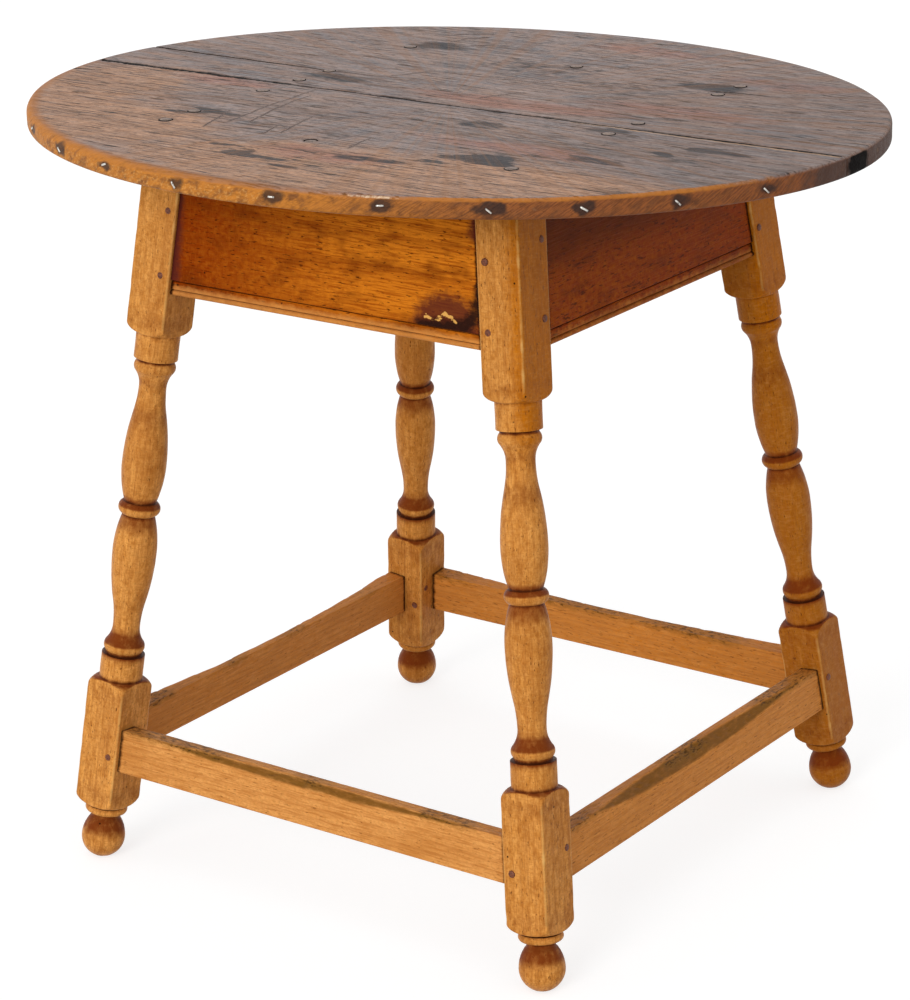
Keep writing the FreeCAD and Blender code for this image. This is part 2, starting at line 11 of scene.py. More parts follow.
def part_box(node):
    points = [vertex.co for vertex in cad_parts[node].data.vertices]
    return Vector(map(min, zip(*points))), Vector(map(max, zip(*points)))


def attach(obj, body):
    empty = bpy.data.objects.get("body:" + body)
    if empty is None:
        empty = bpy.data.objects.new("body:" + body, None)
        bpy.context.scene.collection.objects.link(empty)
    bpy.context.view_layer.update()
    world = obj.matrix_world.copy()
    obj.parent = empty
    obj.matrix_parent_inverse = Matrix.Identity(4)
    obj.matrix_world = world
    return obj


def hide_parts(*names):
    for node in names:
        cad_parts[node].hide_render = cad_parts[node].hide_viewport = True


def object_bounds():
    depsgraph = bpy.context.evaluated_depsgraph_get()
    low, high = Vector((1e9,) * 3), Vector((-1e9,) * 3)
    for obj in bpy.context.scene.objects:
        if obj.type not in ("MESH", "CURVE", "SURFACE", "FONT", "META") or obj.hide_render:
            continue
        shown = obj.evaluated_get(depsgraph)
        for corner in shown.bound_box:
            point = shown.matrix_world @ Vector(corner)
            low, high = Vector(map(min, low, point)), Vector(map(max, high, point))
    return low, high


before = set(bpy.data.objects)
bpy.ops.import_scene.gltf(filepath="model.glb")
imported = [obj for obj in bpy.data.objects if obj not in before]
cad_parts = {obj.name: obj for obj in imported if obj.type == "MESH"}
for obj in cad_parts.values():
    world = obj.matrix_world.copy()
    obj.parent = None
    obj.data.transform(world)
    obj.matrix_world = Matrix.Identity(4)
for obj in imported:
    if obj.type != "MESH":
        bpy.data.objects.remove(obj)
cad_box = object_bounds()

# The four legs. Each is one stick of maple, left square where the rails and stretchers join it and
# turned between with a double vase, rings and a pear-shaped foot. They lean outwards both ways and are
# cut level under the boards. Old shellac has darkened in the grooves and on every upward slope, and the
# grooves carry painted shade as well.
mm = 0.001
leg_signs = {"front_left": (-1, -1), "front_right": (1, -1), "rear_right": (1, 1), "rear_left": (-1, 1)}
frame_shift = Matrix.Translation((7 * mm, 1.5 * mm, 0))
leg_width = 42.5 * mm
leg_reach = (246.7 * mm, 248.4 * mm)
leg_splay = (math.radians(6.31), math.radians(6.61))
leg_slope = [math.tan(turn) for turn in leg_splay]
lean = math.atan(math.hypot(*leg_slope))
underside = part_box("top_front_board")[0].z

foot_flat = 1.9 * mm
foot_height = 63.5 * mm
ball_radius = 20.1 * mm
ball_top_share = 0.886
ball_top_width_share = 0.726
foot_neck_radius = 12.2 * mm
foot_neck_share = 0.75
foot_ring_radius = 19.5 * mm
foot_ring_width = 7.4 * mm
foot_ring_step = 4.2 * mm
foot_ring_gap = 1.4 * mm
lower_block_top = 160.6 * mm
upper_block_bottom = 508.3 * mm
shoulder_length = 12.8 * mm
shoulder_radius = 19.4 * mm
turning_overrun = 0.8 * mm
middle_ring_width = 12.4 * mm
middle_ring_radius = 19.1 * mm
vase_foot_radius = 14.6 * mm
vase_belly_offset = 41 * mm
vase_belly_radius = 20.1 * mm
vase_turn_share = 0.65
vase_neck_offset = 113.5 * mm
vase_neck_radius = 12.4 * mm
bead_offset = 131.9 * mm
bead_radius = 18.8 * mm
bead_width = 10 * mm
bead_step = 2.1 * mm
quirk_width = 2.6 * mm
collar_radius = 19.8 * mm


def up_leg(height):
    # A height above the floor as a length along the leaning leg, from the sole of the whole ball.
    return height / math.cos(lean) + foot_flat


def trace(stops, spacing, ease):
    # Points along an outline of (height, reach, run) stops, with its sharp corners eased. A run is
    # straight, or an arc that stands level at its crest.
    points = [stops[0][:2]]
    for (start_height, start_reach, _), (height, reach, run) in zip(stops, stops[1:]):
        length = math.hypot(height - start_height, reach - start_reach)
        if run == "straight":
            shares = np.linspace(0, 1, max(1, round(length / spacing)) + 1)[1:]
            for share in shares:
                points.append((start_height + share * (height - start_height),
                               start_reach + share * (reach - start_reach)))
            continue
        crest, other = (height, reach), (start_height, start_reach)
        if run == "from crest":
            crest, other = other, crest
        rise = other[0] - crest[0]
        swell = other[1] - crest[1]
        radius = (rise ** 2 + swell ** 2) / (2 * abs(swell))
        sweep = math.atan2(abs(rise), radius - abs(swell))
        steps = max(round(length / spacing), round(sweep / arc_step), 2)
        turns = sweep * np.linspace(0, 1, steps + 1)
        if run == "to crest":
            turns = turns[::-1]
        for turn in turns[1:]:
            points.append((crest[0] + math.copysign(radius, rise) * math.sin(turn),
                           crest[1] + math.copysign(radius, swell) * (1 - math.cos(turn))))
    points = np.array(points)
    eased = [points[0]]
    for before, corner, after in zip(points, points[1:], points[2:]):
        back = before - corner
        ahead = after - corner
        back_length = np.linalg.norm(back)
        ahead_length = np.linalg.norm(ahead)
        if back @ ahead > -math.cos(sharp_turn) * back_length * ahead_length:
            near = corner + back * min(ease / back_length, half_share)
            far = corner + ahead * min(ease / ahead_length, half_share)
            eased += [near, (near + 2 * corner + far) / 4, far]
        else:
            eased.append(corner)
    eased.append(points[-1])
    return np.array(eased)


def wobble(points, size, seed):
    # Smooth noise between about -1 and 1 at each point, with lumps of the given size.
    spots = points.reshape(-1, 3) / size + seed
    return np.array([noise.noise(spot) for spot in spots.tolist()]).reshape(points.shape[:-1])


def ramp(values, low, high):
    # Rises smoothly from 0 at low to 1 at high, also where high is the smaller.
    share = np.clip((values - low) / (high - low), 0, 1)
    return share * share * (3 - 2 * share)


def placed(points, place):
    return points @ np.array(place.to_3x3()).T + np.array(place.translation)


def add_piece(name, data):
    piece = bpy.data.objects.new(name, data)
    bpy.context.scene.collection.objects.link(piece)
    return piece


def turn_outwards(mesh):
    # Merges points that lie on each other and points the faces outwards.
    cleaner = bmesh.new()
    cleaner.from_mesh(mesh)
    bmesh.ops.remove_doubles(cleaner, verts=cleaner.verts, dist=weld)
    bmesh.ops.recalc_face_normals(cleaner, faces=cleaner.faces)
    cleaner.to_mesh(mesh)
    cleaner.free()


def keep_facts(mesh, facts):
    # Facts are values for each point, single or in threes, that the materials and trees read: the
    # place in the stick of wood, grime, wear, painted light and shade, and the way that a peg points.
    for fact, values in facts.items():
        values = np.array(values, np.float32)
        single = values.size == len(mesh.vertices)
        layer = mesh.attributes.new(fact, "FLOAT" if single else "FLOAT_VECTOR", "POINT")
        layer.data.foreach_set("value" if single else "vector", values.ravel())


def skin(name, rings, facts):
    # A closed skin through rings of points, capped at both ends.
    count, around = rings.shape[:2]
    index = np.arange(count * around).reshape(count, around)
    beside = np.roll(index, -1, axis=1)
    sides = np.stack([index[:-1], beside[:-1], beside[1:], index[1:]], axis=-1).reshape(-1, 4)
    caps = [index[0].tolist(), index[-1].tolist()]
    mesh = bpy.data.meshes.new(name)
    mesh.from_pydata(rings.reshape(-1, 3).tolist(), [], sides.tolist() + caps)
    keep_facts(mesh, facts)
    turn_outwards(mesh)
    mesh.shade_smooth()
    return add_piece(name, mesh)


def stand_for(piece, slot, *nodes):
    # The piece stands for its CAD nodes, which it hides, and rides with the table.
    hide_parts(*nodes)
    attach(piece, "root")


arc_step = math.radians(8)
sharp_turn = math.radians(35)
half_share = 0.45
weld = 0.005 * mm

block_radius = leg_width / math.sqrt(2) + turning_overrun
block_start = up_leg(foot_height)
foot_shoulder = block_start - shoulder_length
ring_high = foot_shoulder - foot_ring_gap
ring_low = ring_high - foot_ring_width
ring_edge = foot_ring_radius - foot_ring_step
ball_top = ball_radius * (1 + ball_top_share)
ball_top_radius = ball_radius * ball_top_width_share
foot_stops = [
    (0, 0, "straight"),
    (ball_radius, ball_radius, "to crest"),
    (ball_top, ball_top_radius, "from crest"),
    (ball_top + foot_neck_share * (ring_low - ball_top), foot_neck_radius, "to crest"),
    (ring_low, ring_edge, "from crest"),
    (ring_high - foot_ring_width / 2, foot_ring_radius, "to crest"),
    (ring_high, ring_edge, "from crest"),
    (foot_shoulder, shoulder_radius, "straight"),
    (block_start, block_radius, "to crest"),
]
vase_middle = (up_leg(lower_block_top) + up_leg(upper_block_bottom)) / 2
vase_half = (up_leg(upper_block_bottom) - up_leg(lower_block_top)) / 2
bead_edge = bead_radius - bead_step
bead_far = bead_offset + bead_width / 2
vase_stops = [
    (middle_ring_width / 2, vase_foot_radius, "from crest"),
    (vase_belly_offset, vase_belly_radius, "to crest"),
    (vase_belly_offset + vase_turn_share * (vase_neck_offset - vase_belly_offset),
     vase_belly_radius - vase_turn_share * (vase_belly_radius - vase_neck_radius), "from crest"),
    (vase_neck_offset, vase_neck_radius, "to crest"),
    (bead_offset - bead_width / 2, bead_edge, "from crest"),
    (bead_offset, bead_radius, "to crest"),
    (bead_far, bead_edge, "from crest"),
    (bead_far + quirk_width, bead_edge, "straight"),
    (bead_far + quirk_width, collar_radius, "straight"),
    (vase_half - shoulder_length, collar_radius, "straight"),
    (vase_half, block_radius, "to crest"),
]
# The lower half of the vase is the upper one mirrored, so each arc is met from its other end.
met_from = {"straight": "straight", "to crest": "from crest", "from crest": "to crest"}
lower_runs = ["straight"] + [met_from[run] for offset, radius, run in reversed(vase_stops)]
lower_vase = [
    (vase_middle - offset, radius, run)
    for (offset, radius, _), run in zip(reversed(vase_stops), lower_runs)
]
upper_vase = [(vase_middle + offset, radius, run) for offset, radius, run in vase_stops]
leg_end = up_leg(underside) - leg_width * math.tan(lean)
leg_stops = foot_stops + lower_vase + [(vase_middle, middle_ring_radius, lower_runs[-1])] + upper_vase
leg_stops.append((leg_end, block_radius, "straight"))

leg_ring_spacing = 3.6 * mm
leg_edge_ease = 0.45 * mm
leg_facets = 112
corner_crowding = 0.15
arris_blend = 0.5 * mm
arris_sharpness = 26
arris_wear_share = 0.6
arris_turn = math.radians(5)
nick_size = 13 * mm
hand_wobble = 0.14 * mm
hand_wobble_size = 11 * mm
leg_places = {}
for corner, (across, back) in leg_signs.items():
    lean_axis = Vector((back * leg_slope[1], -across * leg_slope[0], 0)).normalized()
    stand = frame_shift @ Matrix.Translation((across * leg_reach[0], back * leg_reach[1], 0))
    leg_places[corner] = stand @ Quaternion(lean_axis, lean).to_matrix().to_4x4()
    leg_places[corner] @= Matrix.Translation((0, 0, -foot_flat))

# Where dirt, dark finish and painted shade lie, from the outline alone: black dirt and painted shade
# in the narrow grooves, and red-brown in the wider hollows, on the slopes that face up, on the upper
# half of the ball and at block ends.
groove_reach = 2.4 * mm
groove_depth = 1.5 * mm
hollow_reach = 12 * mm
hollow_least = 0.6 * mm
hollow_depth = 1.8 * mm
slope_reach = 4 * mm
slope_least = 0.11
slope_full = 0.31
ball_stain_shares = (0.7, 1.6)
ball_stain_most_share = 0.42
block_stain_reach = 13 * mm
block_stain_share = 0.22
# Painted shadow of the boards darkens the legs just under them, over these heights.
under_top_shadow_share = 0.26
under_top_shadow_heights = (625 * mm, 675 * mm)
# Painted shade darkens the right-hand faces of the right-hand legs up high, and darkens each leg by
# its own share, the rear right one most, away from the light.
side_shade_facing_shares = (0.1, 0.85)
side_shade_heights = (430 * mm, 500 * mm)
far_shade_shares = {"front_left": 0, "front_right": 0.15, "rear_right": 0.95, "rear_left": 0.35}
far_shade_top_share = 0.05
far_shade_heights = (400 * mm, 560 * mm)
outline = trace(leg_stops, leg_ring_spacing, leg_edge_ease)
heights, radii = outline.T
fine_heights = np.arange(heights[0], heights[-1], leg_edge_ease)
fine_radii = np.minimum(np.interp(fine_heights, heights, radii), leg_width / 2 + turning_overrun)


def averaged(values, reach):
    # Values along the outline's even steps, each averaged with its neighbours within the reach.
    steps = np.arange(-2 * reach, 2 * reach, leg_edge_ease)
    weights = np.exp(-(steps / reach) ** 2)
    margin = len(weights) // 2
    padded = np.pad(values, margin, mode="edge")
    return np.convolve(padded, weights / weights.sum(), "same")[margin:margin + len(values)]


groove = ramp(averaged(fine_radii, groove_reach) - fine_radii, 0, groove_depth)
hollow = ramp(averaged(fine_radii, hollow_reach) - fine_radii, hollow_least, hollow_depth)
rising = -np.gradient(averaged(fine_radii, slope_reach), leg_edge_ease)
stain = np.maximum(hollow, ramp(rising, slope_least, slope_full))
on_ball = ramp(fine_heights, *(ball_radius * share for share in ball_stain_shares))
stain = np.maximum(stain, ball_stain_most_share * on_ball * (fine_heights < ring_low))
groove = np.interp(heights, fine_heights, groove)
stain = np.interp(heights, fine_heights, stain)
block_ends = np.array([block_start, up_leg(lower_block_top), up_leg(upper_block_bottom)])
from_end = np.abs(heights[:, None] - block_ends).min(axis=1)
end_stain_and_shadow = block_stain_share * ramp(from_end, block_stain_reach, 0)
end_stain_and_shadow = np.maximum(end_stain_and_shadow, under_top_shadow_share * ramp(heights, *under_top_shadow_heights))

even_turns = np.linspace(0, 2 * math.pi, leg_facets, endpoint=False)
turns = even_turns + corner_crowding * np.sin(4 * even_turns)
quarter = np.floor(turns / (math.pi / 2)).astype(int)
from_arris = np.abs(turns % (math.pi / 2) - math.pi / 4)
stick_stride = 310 * mm
legs = []
for seed, (corner, (across, back)) in enumerate(leg_signs.items()):
    corner_spots = np.stack(np.broadcast_arrays(heights[:, None], quarter * leg_width, seed), axis=-1)
    nicks = ramp(wobble(corner_spots, nick_size, seed), 0, 1)
    sharpness = arris_sharpness * (1 - arris_wear_share * nicks)
    spread_out = np.abs(np.cos(turns)) ** sharpness + np.abs(np.sin(turns)) ** sharpness
    square = leg_width / 2 / spread_out ** (1 / sharpness)
    turned = np.broadcast_to(radii[:, None], square.shape)
    radius = (turned + square - np.sqrt((turned - square) ** 2 + arris_blend ** 2)) / 2
    ring_parts = (radius * np.cos(turns), radius * np.sin(turns), heights[:, None])
    stick = np.stack(np.broadcast_arrays(*ring_parts), axis=-1)
    unevenness = hand_wobble * (wobble(stick, hand_wobble_size, seed) - 1)
    unevenness *= ramp(radius, 0, ball_top_radius)
    stick[..., :2] *= (1 + unevenness / np.maximum(radius, hand_wobble_size))[..., None]
    rings = placed(stick, leg_places[corner])
    # The last ring slides up the leg until it is level under the boards, and the ball sits flat.
    along_leg = np.array(leg_places[corner].to_3x3().col[2])
    rings[-1] += along_leg * ((underside - rings[-1, :, 2]) / along_leg[2])[:, None]
    rings[..., 2] = np.maximum(rings[..., 2], 0)
    squared = ramp(turned - square, 0, 4 * arris_blend)
    rightwards = (across > 0) * ramp(np.cos(turns), *side_shade_facing_shares)
    far_shade_level = far_shade_shares[corner] + far_shade_top_share * ramp(heights, *far_shade_heights)
    facts = {
        "grain": stick[..., [2, 0, 1]] + seed * stick_stride,
        "grime": groove[:, None] * (1 - squared),
        "stain": stain[:, None] * (1 - squared) + end_stain_and_shadow[:, None] * squared,
        "rub": squared * ramp(from_arris, arris_turn, 0) * (1 + nicks) / 2,
        "deep": rightwards * ramp(heights, *side_shade_heights)[:, None],
        "aged": np.broadcast_to(far_shade_level[:, None], square.shape),
    }
    legs.append(skin(f"leg_{corner}", rings, facts))


def linear(colour):
    # An sRGB hex colour as the linear values that the shaders work in.
    shares = [int(colour[place:place + 2], 16) / 255 for place in (1, 3, 5)]
    return [s / 12.92 if s <= 0.04045 else ((s + 0.055) / 1.055) ** 2.4 for s in shares] + [1]


def add_node(tree, kind, links, **settings):
    # One node with its settings, and each input set to a value or joined to a node or socket.
    node = tree.nodes.new(kind)
    for setting, value in settings.items():
        setattr(node, setting, value)
    for key, value in links.items():
        socket = next(s for s in node.inputs if s.enabled and key in (s.name, s.identifier))
        if isinstance(value, bpy.types.Node):
            value = next(s for s in value.outputs if s.enabled)
        if isinstance(value, bpy.types.NodeSocket):
            tree.links.new(value, socket)
        else:
            socket.default_value = value
    return node


def start_material(name):
    material = bpy.data.materials.new(name)
    material.use_nodes = True
    material.node_tree.nodes.clear()
    return material, material.node_tree


def start_wood(name):
    # A material whose patterns follow the place in the stick of wood that the piece was made from.
    material, tree = start_material(name)
    grain = add_node(tree, "ShaderNodeAttribute", {}, attribute_name="grain").outputs["Vector"]
    return material, tree, grain


def cloud(tree, place, width, stretch, detail=3):
    # Soft noise with lumps of the given width, drawn out along the stick by the stretch.
    along = add_node(tree, "ShaderNodeMapping", {"Vector": place, "Scale": (1 / stretch, 1, 1)})
    return add_node(tree, "ShaderNodeTexNoise", {
        "Vector": along, "Scale": 1 / width, "Detail": detail, "Roughness": 0.6})


def lumps(tree, place, width, stretch, low, high, most):
    # A mask of such lumps, from nothing where the noise is low to its most where it is high.
    field = cloud(tree, place, width, stretch)
    return add_node(tree, "ShaderNodeMapRange", {
        "Value": field, "From Min": low, "From Max": high, "To Max": most})


def ragged(tree, fact, field, low, high, most):
    # A mask from one of the mesh's facts, with its border made ragged by a noise field.
    amount = add_node(tree, "ShaderNodeAttribute", {}, attribute_name=fact).outputs["Fac"]
    uneven = add_node(tree, "ShaderNodeMath", {"Value": amount, "Value_001": field}, operation="ADD")
    return add_node(tree, "ShaderNodeMapRange", {
        "Value": uneven, "From Min": low, "From Max": high, "To Max": most})


def growth_rings(tree, place, pith, spacing, stretch, low, most):
    # A mask of the dark late wood in growth rings about the pith, at the given mean spacing.
    about_pith = add_node(tree, "ShaderNodeMapping", {
        "Vector": place, "Location": (0, -pith[0], -pith[1]), "Scale": (1 / stretch, 1, 1)})
    rings = add_node(tree, "ShaderNodeTexWave", {
        "Vector": about_pith, "Scale": 2 * math.pi / (20 * spacing), "Distortion": 5, "Detail": 2,
        "Detail Scale": 0.35}, wave_type="RINGS", rings_direction="X", wave_profile="SAW")
    return add_node(tree, "ShaderNodeMapRange", {"Value": rings, "From Min": low, "To Max": most})


def worm_holes(tree, place, apart, width):
    # A mask of a few small round holes, at most one in each cell of the given size.
    cells = add_node(tree, "ShaderNodeTexVoronoi", {"Vector": place, "Scale": 1 / apart})
    return add_node(tree, "ShaderNodeMapRange", {
        "Value": cells.outputs["Distance"], "From Min": width / apart, "From Max": width / apart / 2})


def dulled(tree, field, shares):
    # A roughness that goes from the first share to the second over the middle of a noise field.
    return add_node(tree, "ShaderNodeMapRange", {
        "Value": field, "From Min": 0.3, "From Max": 0.7, "To Min": shares[0], "To Max": shares[1]})


def finish_wood(tree, base, layers, relief, relief_depth, roughness, specular, sheen="#ffffff"):
    # The layers of colour go over the base one by one, each through its own mask. The sheen is the
    # tint that old finish gives to what it reflects.
    tone = linear(base)
    for colour, mask in layers:
        tone = add_node(tree, "ShaderNodeMix", {"Factor": mask, "A": tone, "B": linear(colour)},
                        data_type="RGBA")
    bump = add_node(tree, "ShaderNodeBump", {"Height": relief, "Distance": relief_depth, "Strength": 1})
    shader = add_node(tree, "ShaderNodeBsdfPrincipled", {
        "Base Color": tone, "Roughness": roughness, "Normal": bump, "Specular IOR Level": specular,
        "Specular Tint": linear(sheen)})
    add_node(tree, "ShaderNodeOutputMaterial", {"Surface": shader})


# Old maple under worn shellac: honey gold, close-grained and mottled across the grain, with dark
# flecks, a few worm holes, red-brown on the upward slopes, black dirt and painted shade in the grooves,
# and paler wood with a painted highlight where hands rubbed the edges. Painted shade darkens the tops
# under the boards, the upper right-hand faces of the right-hand legs, and the rear legs most.
maple_pith = (31 * mm, 12 * mm)
maple_ring = 5.5 * mm
maple_fibre = 1.7 * mm
maple_patch = 34 * mm
maple_mottle = 11 * mm
maple_flow = 3.4 * mm
maple_freckle = 1.3 * mm
maple_curl = 6 * mm
maple_dark_curl = 5 * mm
maple_fleck = 1.4 * mm
old_finish = "#d08a40"
maple_dirt = 6 * mm
worm_apart = 26 * mm
worm_width = 1.2 * mm
maple_relief_depth = 0.12 * mm
maple_dull_shares = (0.34, 0.52)
maple_specular_share = 0.11
maple, tree, grain = start_wood("turned_maple_in_old_shellac")
dirt = cloud(tree, grain, maple_dirt, 1.5, detail=5)
fibres = lumps(tree, grain, maple_fibre, 13, 0.5, 0.63, 0.2)
flecks = lumps(tree, grain, maple_fleck, 4, 0.63, 0.69, 0.85)
maple_relief = add_node(tree, "ShaderNodeMath", {"Value": flecks, "Value_001": fibres},
                        operation="SUBTRACT")
finish_wood(tree, "#e5a052", [
    ("#a4621a", ragged(tree, "aged", dirt, 0.45, 1.45, 1)),
    ("#b86800", ragged(tree, "deep", dirt, 0.4, 1.3, 0.9)),
    ("#98541c", lumps(tree, grain, maple_patch, 2.2, 0.46, 0.68, 0.38)),
    ("#8c3e0c", lumps(tree, grain, maple_flow, 14, 0.52, 0.66, 0.2)),
    ("#985618", lumps(tree, grain, maple_mottle, 1.8, 0.5, 0.66, 0.24)),
    ("#783c0e", fibres),
    ("#80440e", lumps(tree, grain, maple_freckle, 3.5, 0.46, 0.6, 0.26)),
    ("#9a5a24", growth_rings(tree, grain, maple_pith, maple_ring, 28, 0.55, 0.3)),
    ("#dca660", lumps(tree, grain, maple_curl, 0.3, 0.5, 0.64, 0.12)),
    ("#a8662a", lumps(tree, grain, maple_dark_curl, 0.3, 0.5, 0.62, 0.36)),
    ("#5a2c0e", flecks),
    ("#e0b26c", ragged(tree, "rub", dirt, 0.7, 1.3, 0.7)),
    ("#6e2c0c", ragged(tree, "stain", dirt, 0.55, 1.5, 0.92)),
    ("#33140a", ragged(tree, "grime", dirt, 0.75, 1.35, 0.9)),
    ("#1d0d05", worm_holes(tree, grain, worm_apart, worm_width)),
], maple_relief, maple_relief_depth, dulled(tree, dirt, maple_dull_shares), maple_specular_share,
            old_finish)
for corner, leg in zip(leg_signs, legs):
    leg.data.materials.append(maple)
    stand_for(leg, "turned_maple", f"leg_{corner}")

# The apron rails. Four pine boards lean in with the legs and are tenoned into their blocks. A plane
# has run a quirk, a flat fascia and a bead along each lower edge. The front one is scorched beside
# its right-hand leg, where the finish has flaked away from pale wood.
side_turns = {"front": 0, "right": 90, "rear": 180, "left": 270}
side_legs = {
    "front": ("front_left", "front_right"),
    "right": ("front_right", "rear_right"),
    "rear": ("rear_right", "rear_left"),
    "left": ("rear_left", "front_left"),
}
rail_bottom = 536.5 * mm
rail_thickness = 20 * mm
rail_setback = 3 * mm
moulding_height = 13.5 * mm
moulding_quirk_depth = 2.6 * mm
moulding_quirk_height = 1 * mm
fascia_depth = 1.5 * mm
fascia_height = 5.4 * mm
moulding_bead_depth = 0.7 * mm
moulding_bead_sink = 2 * mm
joint_gap = 0.25 * mm


def lay_bar(side, section, bottom, setback, spacing):
    # The stick's points in its own frame, along, in from its face and up, as rings from leg to leg,
    # with slanting ends that meet the legs, and the place of that frame in the table.
    axis = 0 if side in ("front", "rear") else 1
    turn = leg_splay[1 - axis]
    out = leg_reach[1 - axis] - math.tan(turn) * bottom + leg_width / 2 - setback
    place = frame_shift @ Matrix.Rotation(math.radians(side_turns[side]), 4, "Z")
    place @= Matrix.Translation((0, -out, bottom)) @ Matrix.Rotation(-turn, 4, "X")
    at_middle = np.stack([np.zeros(len(section)), section[:, 1], section[:, 0]], axis=-1)
    ends = []
    for leg_name in side_legs[side]:
        to_leg = leg_places[leg_name].inverted() @ place
        inner_face = -leg_signs[leg_name][axis] * leg_width / 2
        run = (inner_face - placed(at_middle, to_leg)[:, axis]) / to_leg[axis][0]
        ends.append(run - np.copysign(joint_gap, run))
    count = round((ends[1].mean() - ends[0].mean()) / spacing)
    shares = np.linspace(0, 1, count + 1)[:, None]
    stick = np.repeat(at_middle[None], count + 1, axis=0)
    stick[..., 0] = ends[0] + shares * (ends[1] - ends[0])
    return stick, place


def from_ends(along):
    # The distance of each point of a bar from the nearer of its two ends.
    return np.minimum(along - along.min(axis=0), along.max(axis=0) - along)


def from_route(points, route):
    # The distance of each point from a route of straight runs, both in the same two directions.
    nearest = np.full(points.shape[:-1], np.inf)
    for start, end in zip(route, route[1:]):
        run = end - start
        share = np.clip((points - start) @ run / (run @ run), 0, 1)
        away = np.linalg.norm(points - start - share[..., None] * run, axis=-1)
        nearest = np.minimum(nearest, away)
    return nearest


rail_height = (underside - rail_bottom) / math.cos(max(leg_splay)) + rail_setback
bead_rim = moulding_bead_depth + moulding_bead_sink
rail_bead_top = fascia_height - moulding_quirk_height
fascia_top = moulding_height - moulding_quirk_height
rail_stops = [
    (rail_height, 0, "straight"),
    (moulding_height, 0, "straight"),
    (fascia_top, moulding_quirk_depth, "straight"),
    (fascia_top - moulding_quirk_height, fascia_depth, "straight"),
    (fascia_height, fascia_depth, "straight"),
    (rail_bead_top, bead_rim, "straight"),
    (rail_bead_top / 2, moulding_bead_depth, "to crest"),
    (0, bead_rim, "from crest"),
    (0, rail_thickness, "straight"),
    (rail_height, rail_thickness, "straight"),
]
rail_spacing = 1.9 * mm
rail_ease = 0.5 * mm
plane_wave = 0.22 * mm
plane_wave_size = np.array([150, 26, 26]) * mm
# Dirt and painted shade lie in the quirk and this far from each end of a rail or stretcher.
rail_grime_and_shade_reach = 6 * mm
# Painted shade darkens each rail up under the boards, over these shares of its height.
rail_shade_shares = (0.3, 0.62)
face_full_share = 1.5
# The rails are paler towards the front right-hand leg, over these distances from it.
pale_reach = (445 * mm, 120 * mm)
# The lower moulding of each rail is paler, worn and with a painted highlight, by these shares.
rub_and_highlight_shares = {"front": 1, "right": 0.5, "rear": 0.7, "left": 0.7}
pale_shares = {"front": 1, "right": 0.14, "rear": 0.3, "left": 0.3}
shade_shares = {"front": 0.1, "right": 1, "rear": 0.7, "left": 0.7}
# The scorched corner of the front rail, as places along it and up it: a rounded blotch, the blacker
# wood low down and against the leg, and the route along which the finish has flaked off.
scorch_middle = np.array([130, 13]) * mm
scorch_half = np.array([38, 33]) * mm
scorch_shares = (1.25, 0.55)
char_route = np.array([(104, 12), (130, 15), (150, 18), (159, 30), (162, 48)]) * mm
char_reach = 15 * mm
flake_route = np.array([(108, 21), (118, 17), (127, 25), (134, 24), (140, 17), (153, 14)]) * mm
flake_reach = 6.5 * mm
flake_depth = 0.35 * mm
flake_most_share = 0.7
# Smoke rises by the right-hand leg, and painted shadow runs up the joint by the left-hand leg.
smoke_and_shadow_routes = np.array([[(156, 96), (158, 131)], [(-163, 10), (-159, 128)]]) * mm
smoke_and_shadow_reach = 17 * mm
rail_section = trace(rail_stops, rail_spacing, rail_ease)
rails = []
for seed, side in enumerate(side_turns):
    stick, place = lay_bar(side, rail_section, rail_bottom, rail_setback, rail_spacing)
    along, inwards, up = np.moveaxis(stick, -1, 0)
    outer = inwards < rail_thickness / 2
    on_face = ramp(up, moulding_height, face_full_share * moulding_height) * outer
    wave = plane_wave * (1 + wobble(stick, plane_wave_size, seed)) * on_face
    in_quirk = ramp(inwards, fascia_depth, moulding_quirk_depth) * outer
    in_quirk *= (up < moulding_height) * (up > rail_bead_top)
    in_table = placed(stick, place)
    front_right = np.array(leg_places["front_right"].translation)
    from_leg = np.linalg.norm((in_table - front_right)[..., :2], axis=-1)
    facts = {
        "grain": stick + seed * stick_stride,
        "grime": np.maximum(in_quirk, ramp(from_ends(along), rail_grime_and_shade_reach, 0)),
        "rub": rub_and_highlight_shares[side] * ramp(up, fascia_top, fascia_height) * outer,
        "shade": shade_shares[side] * ramp(up / rail_height, *rail_shade_shares) * outer,
        "pale": pale_shares[side] * ramp(from_leg, *pale_reach),
    }
    if side == "front":
        spots = stick[..., [0, 2]]
        above_quirk = ramp(up, fascia_top, moulding_height) * outer
        blotch = np.linalg.norm((spots - scorch_middle) / scorch_half, axis=-1)
        flake = ramp(from_route(spots, flake_route), flake_reach, 0) * on_face
        from_smoke_and_shadow = np.minimum(*(from_route(spots, route) for route in smoke_and_shadow_routes))
        smoke_and_shadow = ramp(from_smoke_and_shadow, smoke_and_shadow_reach, 0)
        facts["scorch"] = np.maximum(ramp(blotch, *scorch_shares), smoke_and_shadow) * above_quirk
        facts["char"] = ramp(from_route(spots, char_route), char_reach, 0) * above_quirk
        facts["flake"] = flake_most_share * flake
        wave = wave + flake_depth * flake
    stick[..., 1] += wave
    rings = placed(stick, place)
    # The rails lean, so their top edges are planed level with the underside of the boards.
    rings[..., 2] = np.minimum(rings[..., 2], underside)
    rails.append(skin(f"rail_{side}", rings, facts))

